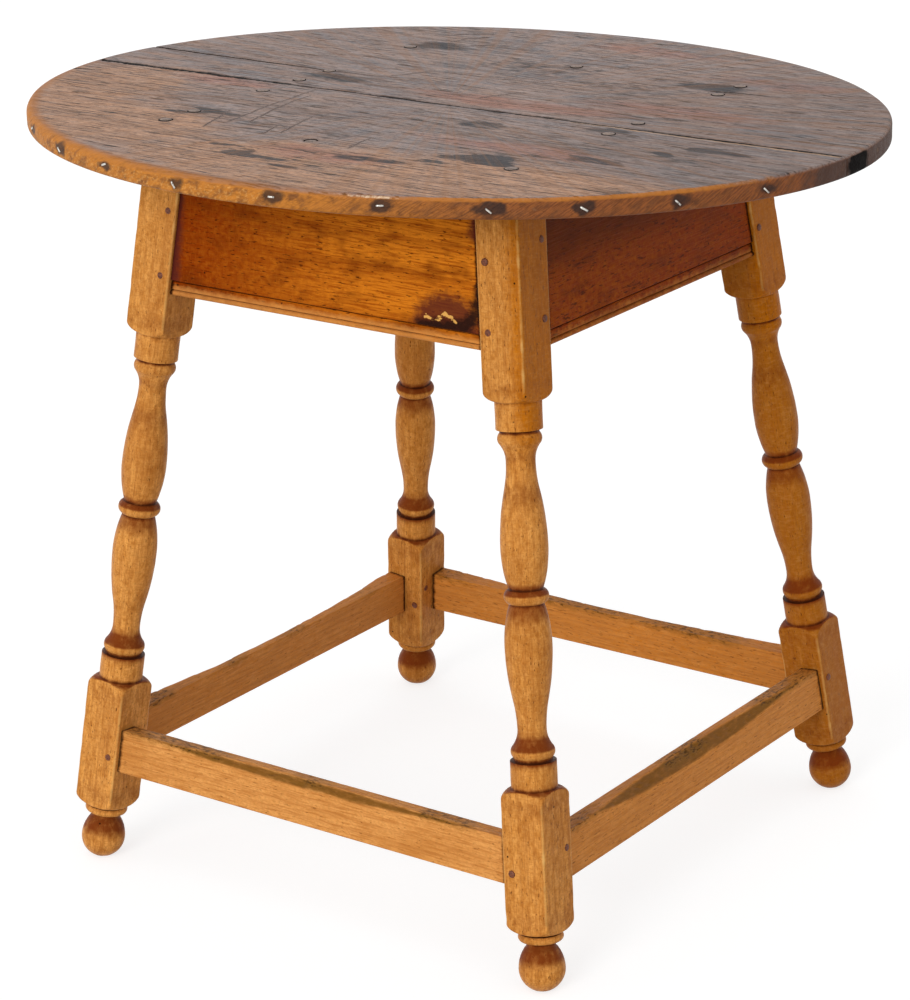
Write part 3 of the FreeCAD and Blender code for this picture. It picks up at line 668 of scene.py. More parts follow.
# Pine gone amber under old finish: strong brown lines of late wood along the rail, short dark
# flecks, worm holes, and a dull lustre. It is red-brown far from the front right-hand leg and orange
# close to it, and painted shade darkens it up under the boards. Grime and painted shade lie in the
# quirk and in the corners by the legs, and the lower moulding is paler, worn and with a painted
# highlight.
pine_pith = (95 * mm, 40 * mm)
pine_ring = 6.5 * mm
pine_fibre = 1.6 * mm
pine_patch = 22 * mm
pine_drip = 5 * mm
pine_fleck = 1.7 * mm
pine_dirt = 5 * mm
pine_chip = 3 * mm
pine_relief_depth = 0.2 * mm
pine_dull_shares = (0.36, 0.52)
pine_specular_share = 0.05
pine, tree, grain = start_wood("amber_pine_rail_in_old_finish")
dirt = cloud(tree, grain, pine_dirt, 1.2, detail=5)
chips = cloud(tree, grain, pine_chip, 2, detail=4)
fibres = lumps(tree, grain, pine_fibre, 18, 0.48, 0.62, 0.75)
flake_mask = ragged(tree, "flake", chips, 1.06, 1.11, 1)
pine_relief = add_node(tree, "ShaderNodeMath", {"Value": fibres, "Value_001": flake_mask},
                       operation="SUBTRACT")
finish_wood(tree, "#843000", [
    ("#d67c1c", ragged(tree, "pale", dirt, 0.55, 1.35, 1)),
    ("#8c3c04", growth_rings(tree, grain, pine_pith, pine_ring, 60, 0.4, 0.5)),
    ("#934004", fibres),
    ("#6a2802", lumps(tree, grain, pine_patch, 2.4, 0.5, 0.66, 0.65)),
    ("#b4641a", lumps(tree, grain, pine_drip, 0.35, 0.53, 0.7, 0.3)),
    ("#471800", ragged(tree, "shade", dirt, 0.6, 1.7, 0.8)),
    ("#431502", lumps(tree, grain, pine_fleck, 5, 0.59, 0.65, 0.85)),
    ("#d08c48", ragged(tree, "rub", dirt, 0.7, 1.6, 0.8)),
    ("#2a0e04", ragged(tree, "grime", dirt, 0.8, 1.3, 0.95)),
    ("#55201a", ragged(tree, "scorch", dirt, 0.7, 1.35, 0.88)),
    ("#20120f", ragged(tree, "char", dirt, 0.85, 1.4, 0.92)),
    ("#dba456", flake_mask),
    ("#180903", worm_holes(tree, grain, worm_apart, worm_width)),
], pine_relief, pine_relief_depth, dulled(tree, dirt, pine_dull_shares), pine_specular_share, old_finish)
for side, rail in zip(side_turns, rails):
    rail.data.materials.append(pine)
    stand_for(rail, "apron_pine", f"rail_{side}")

# The stretchers. Four maple bars tie the lower blocks together, and two hundred years of shoes have
# worn the outer top edge of each into a long slanting hollow, deepest in the middle.
stretcher_bottom = 91 * mm
stretcher_depth = 40.5 * mm
stretcher_thickness = 18 * mm
stretcher_setback = 4.5 * mm
wear_depths = {"front": 5 * mm, "right": 8 * mm, "rear": 5 * mm, "left": 8 * mm}
wear_half_length = 190 * mm
wear_slope = math.radians(42)
wear_ripple = 0.9 * mm
wear_ripple_size = 34 * mm
wear_ripple_seed = 0.5
wear_blend = 0.8 * mm
dent_depth = 0.9 * mm
dent_size = np.array([9, 4, 4]) * mm
dent_shares = (0.1, 0.6)
speck_reach = 15 * mm
speck_run_size = 80 * mm
speck_run_seed = 0.3
speck_run_shares = (-0.35, 0.25)
# Painted shade darkens each bar by its side's share, the rear one most.
bar_far_shade_shares = {"front": 0, "right": 0.45, "rear": 0.6, "left": 0.5}
stretcher_spacing = 1.7 * mm
stretcher_ring_spacing = 2.4 * mm
stretcher_ease = 0.9 * mm
# The section starts half way up the inner face, so that each of its four corners is eased.
stretcher_stops = [
    (stretcher_depth / 2, stretcher_thickness, "straight"),
    (stretcher_depth, stretcher_thickness, "straight"),
    (stretcher_depth, 0, "straight"),
    (0, 0, "straight"),
    (0, stretcher_thickness, "straight"),
    (stretcher_depth / 2 - stretcher_spacing, stretcher_thickness, "straight"),
]
stretcher_section = trace(stretcher_stops, stretcher_spacing, stretcher_ease)
stretchers = []
for seed, side in enumerate(side_turns):
    stick, place = lay_bar(side, stretcher_section, stretcher_bottom, stretcher_setback,
                           stretcher_ring_spacing)
    along, inwards, up = np.moveaxis(stick, -1, 0)
    run_spots = np.stack([along, np.zeros_like(along), np.zeros_like(along)], axis=-1)
    depth = wear_depths[side] * np.maximum(1 - (along / wear_half_length) ** 2, 0)
    ripple = wear_ripple * wobble(run_spots, wear_ripple_size, seed + wear_ripple_seed)
    depth = depth + ripple * ramp(depth, 0, 3 * wear_ripple)
    towards_edge = np.array([-math.cos(wear_slope), math.sin(wear_slope)])
    past = stick[..., 1:] @ towards_edge - (stretcher_depth * towards_edge[1] - depth)
    lost = (past + np.sqrt(past ** 2 + wear_blend ** 2)) / 2
    lost *= ramp(depth, 0, wear_blend)
    top_edge = ramp(up, stretcher_depth - speck_reach, stretcher_depth)
    dents = dent_depth * ramp(wobble(stick, dent_size, seed), *dent_shares) * top_edge
    speck_runs = wobble(run_spots, speck_run_size, seed + speck_run_seed)
    facts = {
        "grain": stick + seed * stick_stride,
        "worn": ramp(lost, 0, 3 * wear_blend),
        "specks": top_edge * ramp(speck_runs, *speck_run_shares),
        "grime": ramp(from_ends(along), rail_grime_and_shade_reach, 0),
        "aged": np.full(along.shape, bar_far_shade_shares[side]),
    }
    stick[..., 1:] -= (lost + dents)[..., None] * towards_edge
    hand_planed = plane_wave * wobble(stick, plane_wave_size, seed)
    stick[..., 1] += hand_planed * (inwards < stretcher_thickness / 2)
    stretchers.append(skin(f"stretcher_{side}", placed(stick, place), facts))

# Old maple, paler than the legs and dry from wear: honey wood with long fine lines, olive-black specks
# bruised into the top edges, and an olive-brown polish where shoes have rested. Dirt and painted shade
# darken the ends by the legs, and painted shade darkens the side and rear bars.
bar_pith = (60 * mm, -25 * mm)
bar_ring = 5 * mm
bar_fibre = 1.6 * mm
bar_patch = 30 * mm
bar_speckle = 2 * mm
bar_fleck = 1.5 * mm
bar_bruise = 2.6 * mm
bar_relief_depth = 0.15 * mm
bar_dull_share = 0.5
bar_polish_share = 0.38
bar_specular_share = 0.14
bar_maple, tree, grain = start_wood("worn_maple_stretcher")
dirt = cloud(tree, grain, pine_dirt, 2, detail=5)
bruises = cloud(tree, grain, bar_bruise, 2.2, detail=4)
fibres = lumps(tree, grain, bar_fibre, 16, 0.48, 0.63, 0.7)
worn_mask = ragged(tree, "worn", dirt, 0.7, 1.5, 0.85)
bruise_mask = ragged(tree, "specks", bruises, 1.5, 1.6, 0.65)
bar_roughness = add_node(tree, "ShaderNodeMapRange", {
    "Value": worn_mask, "To Min": bar_dull_share, "To Max": bar_polish_share})
bar_relief = add_node(tree, "ShaderNodeMath", {"Value": fibres, "Value_001": bruise_mask},
                      operation="SUBTRACT")
finish_wood(tree, "#df9c56", [
    ("#c0701e", ragged(tree, "aged", dirt, 0.45, 1.35, 1)),
    ("#bd7836", lumps(tree, grain, bar_patch, 2.5, 0.46, 0.68, 0.65)),
    ("#b06a2c", fibres),
    ("#a5622a", growth_rings(tree, grain, bar_pith, bar_ring, 50, 0.5, 0.35)),
    ("#b87a3c", lumps(tree, grain, bar_speckle, 1.6, 0.44, 0.64, 0.55)),
    ("#6b3a12", lumps(tree, grain, bar_fleck, 5, 0.61, 0.68, 0.7)),
    ("#6c4614", worn_mask),
    ("#7a5420", ragged(tree, "specks", dirt, 1.15, 1.7, 0.55)),
    ("#241a0c", bruise_mask),
    ("#2a1408", ragged(tree, "grime", dirt, 0.85, 1.35, 0.9)),
], bar_relief, bar_relief_depth, bar_roughness, bar_specular_share, old_finish)
for side, stretcher in zip(side_turns, stretchers):
    stretcher.data.materials.append(bar_maple)
    stand_for(stretcher, "worn_maple", f"stretcher_{side}")

# The top. Two wide pine boards, butted at a seam that runs along them, sawn to one oval with an eased
# rim. The bare faces have gone grey-brown and mauve, with cracks, knife cuts, a knot and old stains,
# and have worn down a little below the pins. The rubbed front arris still glows amber, with a painted
# highlight where it turns to the light.
top_half_length = min(cad_box[1][0], -cad_box[0][0])
top_half_width = min(cad_box[1][1], -cad_box[0][1])
face_wear = 0.9 * mm
face_height = cad_box[1][2] - face_wear
seam_offset = 8.5 * mm
seam_gap = 0.8 * mm
rim_round = 3 * mm
rim_rub = 3.2 * mm
rim_rub_turn = math.radians(-125)
rim_rub_spread = math.radians(75)
rim_wear = 1.4 * mm
rim_wear_size = 55 * mm
seam_wear = 1.8 * mm
seam_wear_size = 16 * mm
seam_chip_share = 0.25
seam_open_end = 2.8 * mm
seam_open_reach = (-120 * mm, -330 * mm)
seam_round = 0.9 * mm
seam_wall_drop = 2.2 * mm
top_dip = 0.5 * mm
top_dip_size = 110 * mm
board_columns = 430
face_rows = 104
rim_steps = 6
under_rows = 8
close_row_shares = [0, 0.002, 0.005]
first_row_share = 0.01
rim_slack_share = 0.01
dip_start_share = 0.1


def lay_board(side, seed):
    # Columns from the seam to the rim, each a closed loop over the face, round the rim, back under
    # the board and up the seam. Side is -1 for the front board and 1 for the rear one.
    seam = -seam_offset + side * seam_gap / 2
    shares = np.linspace(0, 1, board_columns + 1)

    def ring(inset, height):
        half_length = top_half_length - inset
        half_width = top_half_width - inset
        start = np.arcsin(seam / half_width)
        turn = start + shares * (side * math.pi - 2 * start)
        x = half_length * np.cos(turn)
        y = half_width * np.sin(turn)
        return np.stack(np.broadcast_arrays(x, y, height), axis=-1)

    rim = ring(0, 0)
    round_rim = np.arctan2(rim[:, 1] / top_half_width, rim[:, 0] / top_half_length)
    rubbed = ramp(np.abs(round_rim - rim_rub_turn), rim_rub_spread, 0)
    top_round = rim_round + rim_rub * rubbed + rim_wear * (1 + wobble(rim, rim_wear_size, seed)) / 2
    curve = np.linspace(0, math.pi / 2, rim_steps + 1)
    rim_rings = []
    for turn in curve:
        inset = top_round * (1 - math.sin(turn))
        rim_rings.append(ring(inset, face_height - top_round * (1 - math.cos(turn))))
    low = underside + rim_round
    for share in np.linspace(0, 1, rim_steps + 1)[1:-1]:
        rim_rings.append(ring(0, low + (face_height - top_round - low) * (1 - share)))
    for turn in curve:
        rim_rings.append(ring(rim_round * (1 - math.cos(turn)), low - rim_round * math.sin(turn)))
    rim_rings = np.stack(rim_rings, axis=1)

    inner = rim_rings[:, 0]
    seam_spots = np.stack([inner[:, 0], np.full(len(inner), seam), np.zeros(len(inner))], axis=-1)
    chips = 1 + wobble(seam_spots, seam_wear_size, seed)
    chips = (chips + wobble(seam_spots, seam_chip_share * seam_wear_size, seed)) / 2
    chipped = np.maximum(chips, 0) * (seam_wear + seam_open_end * ramp(inner[:, 0], *seam_open_reach))
    chipped = np.minimum(chipped, np.abs(inner[:, 1] - seam))
    seam_top = inner.copy()
    seam_top[:, 1] = seam + side * chipped
    rows = np.concatenate([close_row_shares, np.linspace(first_row_share, 1, face_rows)])[:-1, None]
    face = seam_top[:, None] + rows * (inner - seam_top)[:, None]
    under_rim = rim_rings[:, -1]
    seam_low = under_rim.copy()
    seam_low[:, 1] = seam
    across = np.linspace(0, 1, under_rows + 1)[1:, None]
    under = under_rim[:, None] + across * (seam_low - under_rim)[:, None]
    wall_low = seam_low + np.array([0, 0, seam_round])
    wall_top = seam_low.copy()
    wall_top[:, 2] = face_height - seam_wall_drop
    walls = np.stack([wall_low, (wall_low + wall_top) / 2, wall_top], axis=1)
    loops = np.concatenate([face, rim_rings, under, walls], axis=1)
    on_face = np.zeros(loops.shape[:2])
    on_face[:, :face.shape[1]] = 1
    in_seam = np.zeros(loops.shape[:2])
    in_seam[:, -walls.shape[1]:] = 1
    from_rim = 1 - np.hypot(loops[..., 0] / top_half_length, loops[..., 1] / top_half_width)
    sunk = top_dip * (1 + wobble(loops, top_dip_size, seed)) / 2 * ramp(from_rim, 0, dip_start_share)
    from_seam = np.abs(loops[..., 1] - seam) - chipped[:, None]
    sunk = sunk + seam_round * ramp(from_seam, 2 * seam_round, 0) * ramp(from_rim, 0, rim_slack_share)
    loops[..., 2] -= sunk * on_face
    return loops, on_face, in_seam, from_rim, from_seam


def loose_parts(node):
    # The separate solids of one CAD node, each as the array of its corner points.
    copy = bmesh.new()
    copy.from_mesh(node.data)
    bmesh.ops.remove_doubles(copy, verts=copy.verts, dist=weld)
    left = set(copy.verts)
    parts = []
    while left:
        edge_of_search = [left.pop()]
        found = []
        while edge_of_search:
            vertex = edge_of_search.pop()
            found.append(vertex.co[:])
            for link in vertex.link_edges:
                other = link.other_vert(vertex)
                if other in left:
                    left.remove(other)
                    edge_of_search.append(other)
        parts.append(np.array(found))
    copy.free()
    return sorted(parts, key=lambda part: tuple(part.mean(axis=0).round(4)))


# Marks on the face are measured in millimetres from the middle of the legs. Stains lie in ovals, each
# as (x, y, half length, half width, strength), and their outlines wander.
middle_of_legs = np.array(frame_shift.translation)[:2]
oval_units = np.array([mm, mm, mm, mm, 1])
dark_stains = oval_units * np.array([
    (-190, -143, 42, 11, 0.75),
    (-160, -132, 40, 9, 0.8),
    (-150, 36, 62, 22, 0.75),
    (-18, -152, 34, 22, 0.55),
    (-33, -246, 34, 13, 1),
    (-75, -232, 34, 9, 0.7),
    (14, -263, 22, 8, 0.9),
    (60, -211, 46, 13, 0.7),
    (108, -188, 30, 10, 0.75),
    (-157, 196, 46, 30, 0.7),
    (-157, 194, 26, 16, 1),
    (144, -167, 40, 21, 0.95),
    (152, -170, 30, 14, 1),
    (64, -60, 52, 16, 0.7),
    (30, -30, 60, 12, 0.5),
    (175, -23, 34, 11, 0.85),
    (262, -80, 26, 6, 0.9),
    (298, -48, 40, 12, 0.9),
    (225, -122, 36, 7, 0.75),
    (291, -94, 32, 7, 0.6),
    (172, 160, 52, 22, 0.8),
    (-99, 222, 70, 34, 0.5),
    (-20, 160, 110, 50, 0.55),
    (100, 125, 110, 36, 0.55),
    (276, 118, 120, 60, 0.45),
])
pink_patches = oval_units * np.array([
    (50, 22, 120, 22, 1),
    (-235, -28, 70, 18, 0.9),
    (150, -118, 110, 26, 0.8),
    (20, -215, 80, 24, 0.8),
    (190, 60, 110, 26, 0.8),
    (30, 270, 90, 20, 0.7),
    (210, 200, 90, 22, 0.6),
])
tan_patches = oval_units * np.array([
    (-250, -210, 150, 80, 1),
    (80, -262, 260, 84, 1),
    (210, -225, 170, 70, 1),
    (-330, -90, 90, 90, 0.7),
])
stain_wanders = (26 * mm, 13 * mm)
stain_wander_seeds = (3.5, 8.5)
stain_wander_size = np.array([52, 20, 20]) * mm
stain_shares = (1.3, 0.35)
nail_parts = loose_parts(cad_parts["edge_nails"])
nail_tips = []
for part in nail_parts:
    distance = np.hypot(part[:, 0], part[:, 1])
    nail_tips.append(part[distance > distance.max() - mm].mean(axis=0))
nail_tips = np.array(nail_tips)
halo_reach = (11 * mm, 2 * mm)
halo_size_shares = (1, 1.3, 1, 1, 1.2, 1.1, 1.4, 1.1, 1.1, 0.9)
halo_offset = 4 * mm
halo_wander_share = 0.6
halo_wander_size = 9 * mm
halo_wander_seed = 5.5
halo_shares = np.array([1.5, 1.5, 0.85])
rim_edge_share = 0.04
rim_inward_share = 0.95
smooth_rim_share = 0.75
# Painted shade darkens the right-hand end of the rim, between these turns about the oval.
rim_dark_turns = np.radians([-16, -3])
rim_dark_end = np.radians([100, 60])
rim_fade = (0.5 * mm, 3 * mm)
rim_rub_fade = 3.5 * mm
burn_turn = math.radians(2)
burn_spread = np.radians([4.6, 0.6])
arris_shares = (0.011, 0.004)
arris_drop = (4.5 * mm, 2 * mm)
amber_turn = math.radians(-45)
amber_spread = np.radians([36, 14])
# A painted highlight on the front arris, where it turns to the light.
highlight_turn = math.radians(-69)
highlight_spread = np.radians([8, 1])
# Painted light turns the rim gold at the left, where it faces the light, over these turns.
lit_gold_turns = np.radians([-45, -88])
# Painted shade darkens the top towards the right, over these places along it.
right_shade_reach = (-60 * mm, 330 * mm)
hatch_slant = math.radians(34)
seam_line_reach = 7 * mm
seam_shadow_reach = 1.4 * mm
seam_line_start = (70 * mm, 190 * mm)


def blotches(spots, ovals):
    # How far inside the nearest of some ovals each spot on the face lies, as a share of its strength.
    most = np.zeros(spots.shape[:-1])
    for x, y, half_length, half_width, strength in ovals:
        away = np.hypot((spots[..., 0] - x) / half_length, (spots[..., 1] - y) / half_width)
        most = np.maximum(most, strength * ramp(away, *stain_shares))
    return most


boards = {}
for seed, (board, side) in enumerate({"front": -1, "rear": 1}.items()):
    loops, on_face, in_seam, from_rim, from_seam = lay_board(side, seed)
    spots = loops[..., :2] - middle_of_legs
    for axis, wander_seed in enumerate(stain_wander_seeds):
        spots[..., axis] += stain_wanders[axis] * wobble(loops, stain_wander_size, wander_seed)
    around = np.arctan2(loops[..., 1] / top_half_width, loops[..., 0] / top_half_length)
    rubbed = ramp(np.abs(around - rim_rub_turn), rim_rub_spread, 0)
    fade_end = rim_fade[1] + rim_rub_fade * rubbed
    on_rim = ramp(face_height - loops[..., 2], rim_fade[0], fade_end) * (from_rim < rim_edge_share)
    on_rim = np.maximum(on_rim, rim_inward_share * rubbed * ramp(from_rim, rim_edge_share, 0))
    on_rim *= loops[..., 2] > underside
    halo = np.zeros(on_rim.shape)
    wander = 1 + halo_wander_share * wobble(loops, halo_wander_size, halo_wander_seed)
    for tip, size_share in zip(nail_tips, halo_size_shares):
        rightwards = np.array([-tip[1], tip[0], 0]) / np.hypot(tip[0], tip[1])
        away = np.linalg.norm((loops - tip - halo_offset * rightwards) / halo_shares / size_share, axis=-1)
        halo = np.maximum(halo, ramp(away * wander, *halo_reach))
    round_rim = around * (top_half_length + top_half_width) / 2
    height = loops[..., 2]
    hatch = np.stack([
        round_rim * math.cos(hatch_slant) + height * math.sin(hatch_slant),
        height * math.cos(hatch_slant) - round_rim * math.sin(hatch_slant),
        np.zeros_like(height)], axis=-1)
    arris = ramp(from_rim, *arris_shares)
    arris *= ramp(face_height - height, *arris_drop)
    right_half = ramp(loops[..., 0], *seam_line_start)
    tan = blotches(spots, tan_patches)
    gold = ramp(around, *lit_gold_turns)
    facts = {
        "grain": loops + seed * top_half_width,
        "hatch": hatch,
        "soot": blotches(spots, dark_stains) * on_face,
        "pink": blotches(spots, pink_patches) * on_face,
        "tan": tan * on_face,
        "dusk": ramp(loops[..., 0], *right_shade_reach) * (1 - tan),
        "rim": on_rim,
        "gold": gold * on_rim,
        "sawn": (1 - smooth_rim_share * gold) * on_rim,
        "halo": halo * on_rim,
        "shade": ramp(around, *rim_dark_turns) * ramp(around, *rim_dark_end) * on_rim,
        "char": ramp(np.abs(around - burn_turn), *burn_spread) * on_rim,
        "amber": arris * ramp(np.abs(around - amber_turn), *amber_spread),
        "shine": arris * ramp(np.abs(around - highlight_turn), *highlight_spread),
        # The seam's walls and edges are painted near black, grime and painted shade.
        "seam": np.maximum(in_seam, ramp(from_seam, seam_shadow_reach, 0) * on_face),
        "line": ramp(from_seam, seam_line_reach, 0) * on_face * right_half * (side < 0),
    }
    boards[board] = skin(f"top_{board}_board", loops, facts)

# Old unfinished pine: mauve-brown, tan towards the front and greyer behind, streaked with dark along
# the grain, its soft early wood worn a little below the late wood, and darkened towards the right with
# painted shade. The seam is painted near black, grime and painted shade. The rim is orange-brown,
# golden at the left with painted light and painted glints, darker at the right with painted shade,
# and crossed by fine slanting saw marks, with a dark iron stain about each nail.
top_pith = (40 * mm, -160 * mm)
top_ring = 9 * mm
top_band = 38 * mm
top_streak = 1.9 * mm
top_pale_streak = 1.9 * mm
top_dash = 2.3 * mm
top_pepper = 2 * mm
top_line = 1.5 * mm
top_smear = 8 * mm
soot_streak = 4 * mm
saw_mark = 1.1 * mm
rim_blotch = 8 * mm
rim_glint = 2.6 * mm
top_relief_depth = 0.35 * mm
top_dull_shares = (0.5, 0.66)
top_specular_share = 0.2
char_specular_share = 0.02
top_pine, tree, grain = start_wood("weathered_pine_top")
hatch = add_node(tree, "ShaderNodeAttribute", {}, attribute_name="hatch").outputs["Vector"]
on_rim = add_node(tree, "ShaderNodeAttribute", {}, attribute_name="rim").outputs["Fac"]
sawn = add_node(tree, "ShaderNodeAttribute", {}, attribute_name="sawn").outputs["Fac"]
smears = cloud(tree, grain, top_smear, 3.2, detail=6)
soot_field = cloud(tree, grain, soot_streak, 3.5, detail=8)
streaks = lumps(tree, grain, top_streak, 15, 0.5, 0.6, 0.34)
dashes = lumps(tree, grain, top_dash, 12, 0.59, 0.62, 0.9)
saw_marks = lumps(tree, hatch, saw_mark, 11, 0.47, 0.58, 0.6)
blotch_field = cloud(tree, hatch, rim_blotch, 1.6, detail=5)
# Painted glints on the rim's lit gold and on its painted highlight.
glint_field = cloud(tree, hatch, rim_glint, 1.3, detail=4)
rim_saw_marks = add_node(tree, "ShaderNodeMath", {"Value": saw_marks, "Value_001": sawn},
                         operation="MULTIPLY")
worn_grain = add_node(tree, "ShaderNodeMath", {"Value": streaks, "Value_001": dashes}, operation="ADD")
top_relief = add_node(tree, "ShaderNodeMath", {"Value": rim_saw_marks, "Value_001": worn_grain},
                      operation="SUBTRACT")
char_mask = ragged(tree, "char", smears, 0.7, 1.1, 0.98)
top_specular = add_node(tree, "ShaderNodeMapRange", {
    "Value": char_mask, "To Min": top_specular_share, "To Max": char_specular_share})
finish_wood(tree, "#988985", [
    ("#74767d", lumps(tree, grain, top_band, 2.4, 0.47, 0.64, 0.75)),
    ("#c09374", ragged(tree, "tan", smears, 0.45, 1.1, 0.92)),
    ("#a87262", ragged(tree, "pink", smears, 0.7, 1.4, 0.75)),
    ("#54423a", growth_rings(tree, grain, top_pith, top_ring, 40, 0.5, 0.3)),
    ("#4c3a34", streaks),
    ("#ccb2a2", lumps(tree, grain, top_pale_streak, 13, 0.54, 0.62, 0.3)),
    ("#4e3c35", lumps(tree, grain, top_pepper, 2.2, 0.5, 0.6, 0.36)),
    ("#2e211c", lumps(tree, grain, top_line, 45, 0.56, 0.6, 0.7)),
    ("#584a46", ragged(tree, "dusk", smears, 0.7, 1.7, 0.4)),
    ("#241b17", dashes),
    ("#22242a", ragged(tree, "soot", soot_field, 0.98, 1.2, 0.9)),
    ("#8c5026", on_rim),
    ("#c27a2a", ragged(tree, "gold", blotch_field, 0.45, 1.4, 0.95)),
    ("#64361a", ragged(tree, "rim", blotch_field, 1.45, 1.65, 0.6)),
    ("#e0a860", ragged(tree, "gold", glint_field, 1.5, 1.66, 0.5)),
    ("#552c16", rim_saw_marks),
    ("#42302a", ragged(tree, "shade", blotch_field, 0.5, 1.2, 0.85)),
    ("#b26c22", ragged(tree, "amber", smears, 0.75, 1.45, 0.85)),
    ("#f6e0c0", ragged(tree, "shine", glint_field, 1.28, 1.6, 0.7)),
    ("#2b1c18", ragged(tree, "halo", blotch_field, 0.9, 1.35, 0.85)),
    ("#c79f78", ragged(tree, "line", smears, 0.65, 1.1, 0.7)),
    ("#120d0b", ragged(tree, "seam", smears, 0.75, 1.15, 1)),
    ("#0b0807", char_mask),
], top_relief, top_relief_depth, dulled(tree, smears, top_dull_shares), top_specular)

# Two centuries of grime fill the cracks, the knife cuts and the rims of the pin holes.
grime_lump = 1.5 * mm
grime_dull_share = 0.85
grime_specular_share = 0.15
grime_fill, tree = start_material("packed_grime")
place = add_node(tree, "ShaderNodeTexCoord", {}).outputs["Object"]
lump_field = cloud(tree, place, grime_lump, 1)
grime_tone = add_node(tree, "ShaderNodeMix", {
    "Factor": lump_field, "A": linear("#0f0a08"), "B": linear("#2b1f18")}, data_type="RGBA")
grime_shader = add_node(tree, "ShaderNodeBsdfPrincipled", {
    "Base Color": grime_tone, "Roughness": grime_dull_share, "Specular IOR Level": grime_specular_share})
add_node(tree, "ShaderNodeOutputMaterial", {"Surface": grime_shader})

# Cracks, knife cuts and scratches, each as its width and depth, and the places on the face that it
# runs through, from its wide end to its fine one, all in millimetres.
cuts = [
    (3.6, 9, [(-402, 61), (-340, 59), (-279, 58), (-230, 56), (-183, 54), (-140, 55), (-112, 57)]),
    (2.4, 5, [(168, 149), (193, 154), (241, 157)]),
    (2.8, 5, [(-398, -54), (-385, -51), (-370, -48)]),
    (2.2, 3, [(-147, 268), (-170, 256), (-187, 235)]),
    (2, 3, [(-142, 254), (-156, 238), (-161, 216)]),
    (1.8, 3, [(-116, 226), (-132, 212), (-142, 204)]),
    (0.8, 0.6, [(-136, -183), (-144, -158), (-155, -122)]),
    (0.7, 0.6, [(-129, -157), (-138, -90), (-142, -15)]),
    (0.6, 0.6, [(-112, -150), (-126, -95), (-132, -40)]),
    (0.9, 0.6, [(-63, -168), (-71, -137), (-78, -105)]),
    (0.7, 0.6, [(-74, -178), (-79, -160), (-83, -144)]),
    (0.8, 0.6, [(22, -187), (18, -165), (16, -144)]),
    (0.9, 0.6, [(-22, 101), (10, 105), (40, 106)]),
    (0.8, 0.6, [(7, 26), (15, 45), (26, 65)]),
    (0.9, 0.6, [(-118, 64), (-104, 84), (-96, 102)]),
]
cut_clearance = 2 * mm
cut_floor_share = 0.35
cut_end_share = 0.12
cut_step = 3 * mm
cut_wander = 1.1 * mm
cut_wander_size = 16 * mm
pin_hole_radius = 6.2 * mm
pin_hole_depth = 7 * mm
pin_hole_sides = 24
pin_hole_uneven_share = 0.07
pin_hole_lump_share = 0.5
pin_hole_seed = 0.5
pin_parts = loose_parts(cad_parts["top_pins_front_board"])
pin_parts += loose_parts(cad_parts["top_pins_rear_board"])
pin_spots = np.array([part[:, :2].mean(axis=0) for part in pin_parts])


def keep_made(piece):
    # What the piece's modifiers make becomes its plain mesh, and they are taken off.
    whole = piece.data
    seen = bpy.context.evaluated_depsgraph_get()
    piece.data = bpy.data.meshes.new_from_object(piece.evaluated_get(seen))
    piece.modifiers.clear()
    bpy.data.meshes.remove(whole)
    piece.data.name = piece.name


def round_of(sides):
    # The corners of an even polygon with a radius of 1.
    turns = np.linspace(0, 2 * math.pi, sides, endpoint=False)
    return np.stack([np.cos(turns), np.sin(turns)], axis=-1)


def cutter(name, prisms):
    # Closed prisms, each a ring of low points under a ring of high ones, as one hidden tool.
    points = []
    faces = []
    for low, high in prisms:
        first = len(points)
        count = len(low)
        points += list(low) + list(high)
        faces.append([first + place for place in reversed(range(count))])
        faces.append([first + count + place for place in range(count)])
        for place in range(count):
            beside = (place + 1) % count
            faces.append([first + place, first + beside, first + count + beside, first + count + place])
    mesh = bpy.data.meshes.new(name)
    mesh.from_pydata(points, [], faces)
    mesh.materials.append(grime_fill)
    turn_outwards(mesh)
    return add_piece(name, mesh)


def prism(low_spots, high_spots, depth):
    # The low and the high ring of one prism, from below the face to a little above it.
    low = np.column_stack([low_spots, np.full(len(low_spots), face_height - depth)])
    high = np.column_stack([high_spots, np.full(len(high_spots), face_height + cut_clearance)])
    return low.tolist(), high.tolist()


crack_prisms = []
for seed, (width, depth, stops) in enumerate(cuts):
    width *= mm
    stops = np.array(stops) * mm + middle_of_legs
    run = np.concatenate([[0], np.cumsum(np.linalg.norm(np.diff(stops, axis=0), axis=1))])
    steps = np.linspace(0, run[-1], max(3, round(run[-1] / cut_step)))
    route = np.stack([np.interp(steps, run, stops[:, 0]), np.interp(steps, run, stops[:, 1])], axis=-1)
    ahead = np.gradient(route, axis=0)
    aside = np.stack([-ahead[:, 1], ahead[:, 0]], axis=-1) / np.linalg.norm(ahead, axis=1)[:, None]
    route_spots = np.column_stack([route, np.zeros(len(route))])
    route = route + cut_wander * wobble(route_spots, cut_wander_size, seed)[:, None] * aside
    share = steps / run[-1]
    half = width / 2 * np.maximum(1 - share ** 2, cut_end_share)
    half = half * (1 + wobble(route_spots, cut_step, seed) / 2)
    half_aside = half[:, None] * aside
    bank = np.concatenate([route + half_aside, (route - half_aside)[::-1]])
    middle = np.concatenate([route, route[::-1]])
    crack_prisms.append(prism(middle + cut_floor_share * (bank - middle), bank, depth * mm))
hole_prisms = []
circle = round_of(pin_hole_sides)
for seed, spot in enumerate(pin_spots):
    hole_spots = np.column_stack([circle / pin_hole_lump_share, np.full(pin_hole_sides, seed)])
    uneven = wobble(hole_spots, 1, pin_hole_seed)
    reach = pin_hole_radius * (1 + pin_hole_uneven_share * uneven)
    hole = spot + reach[:, None] * circle
    hole_prisms.append(prism(hole, hole, pin_hole_depth))
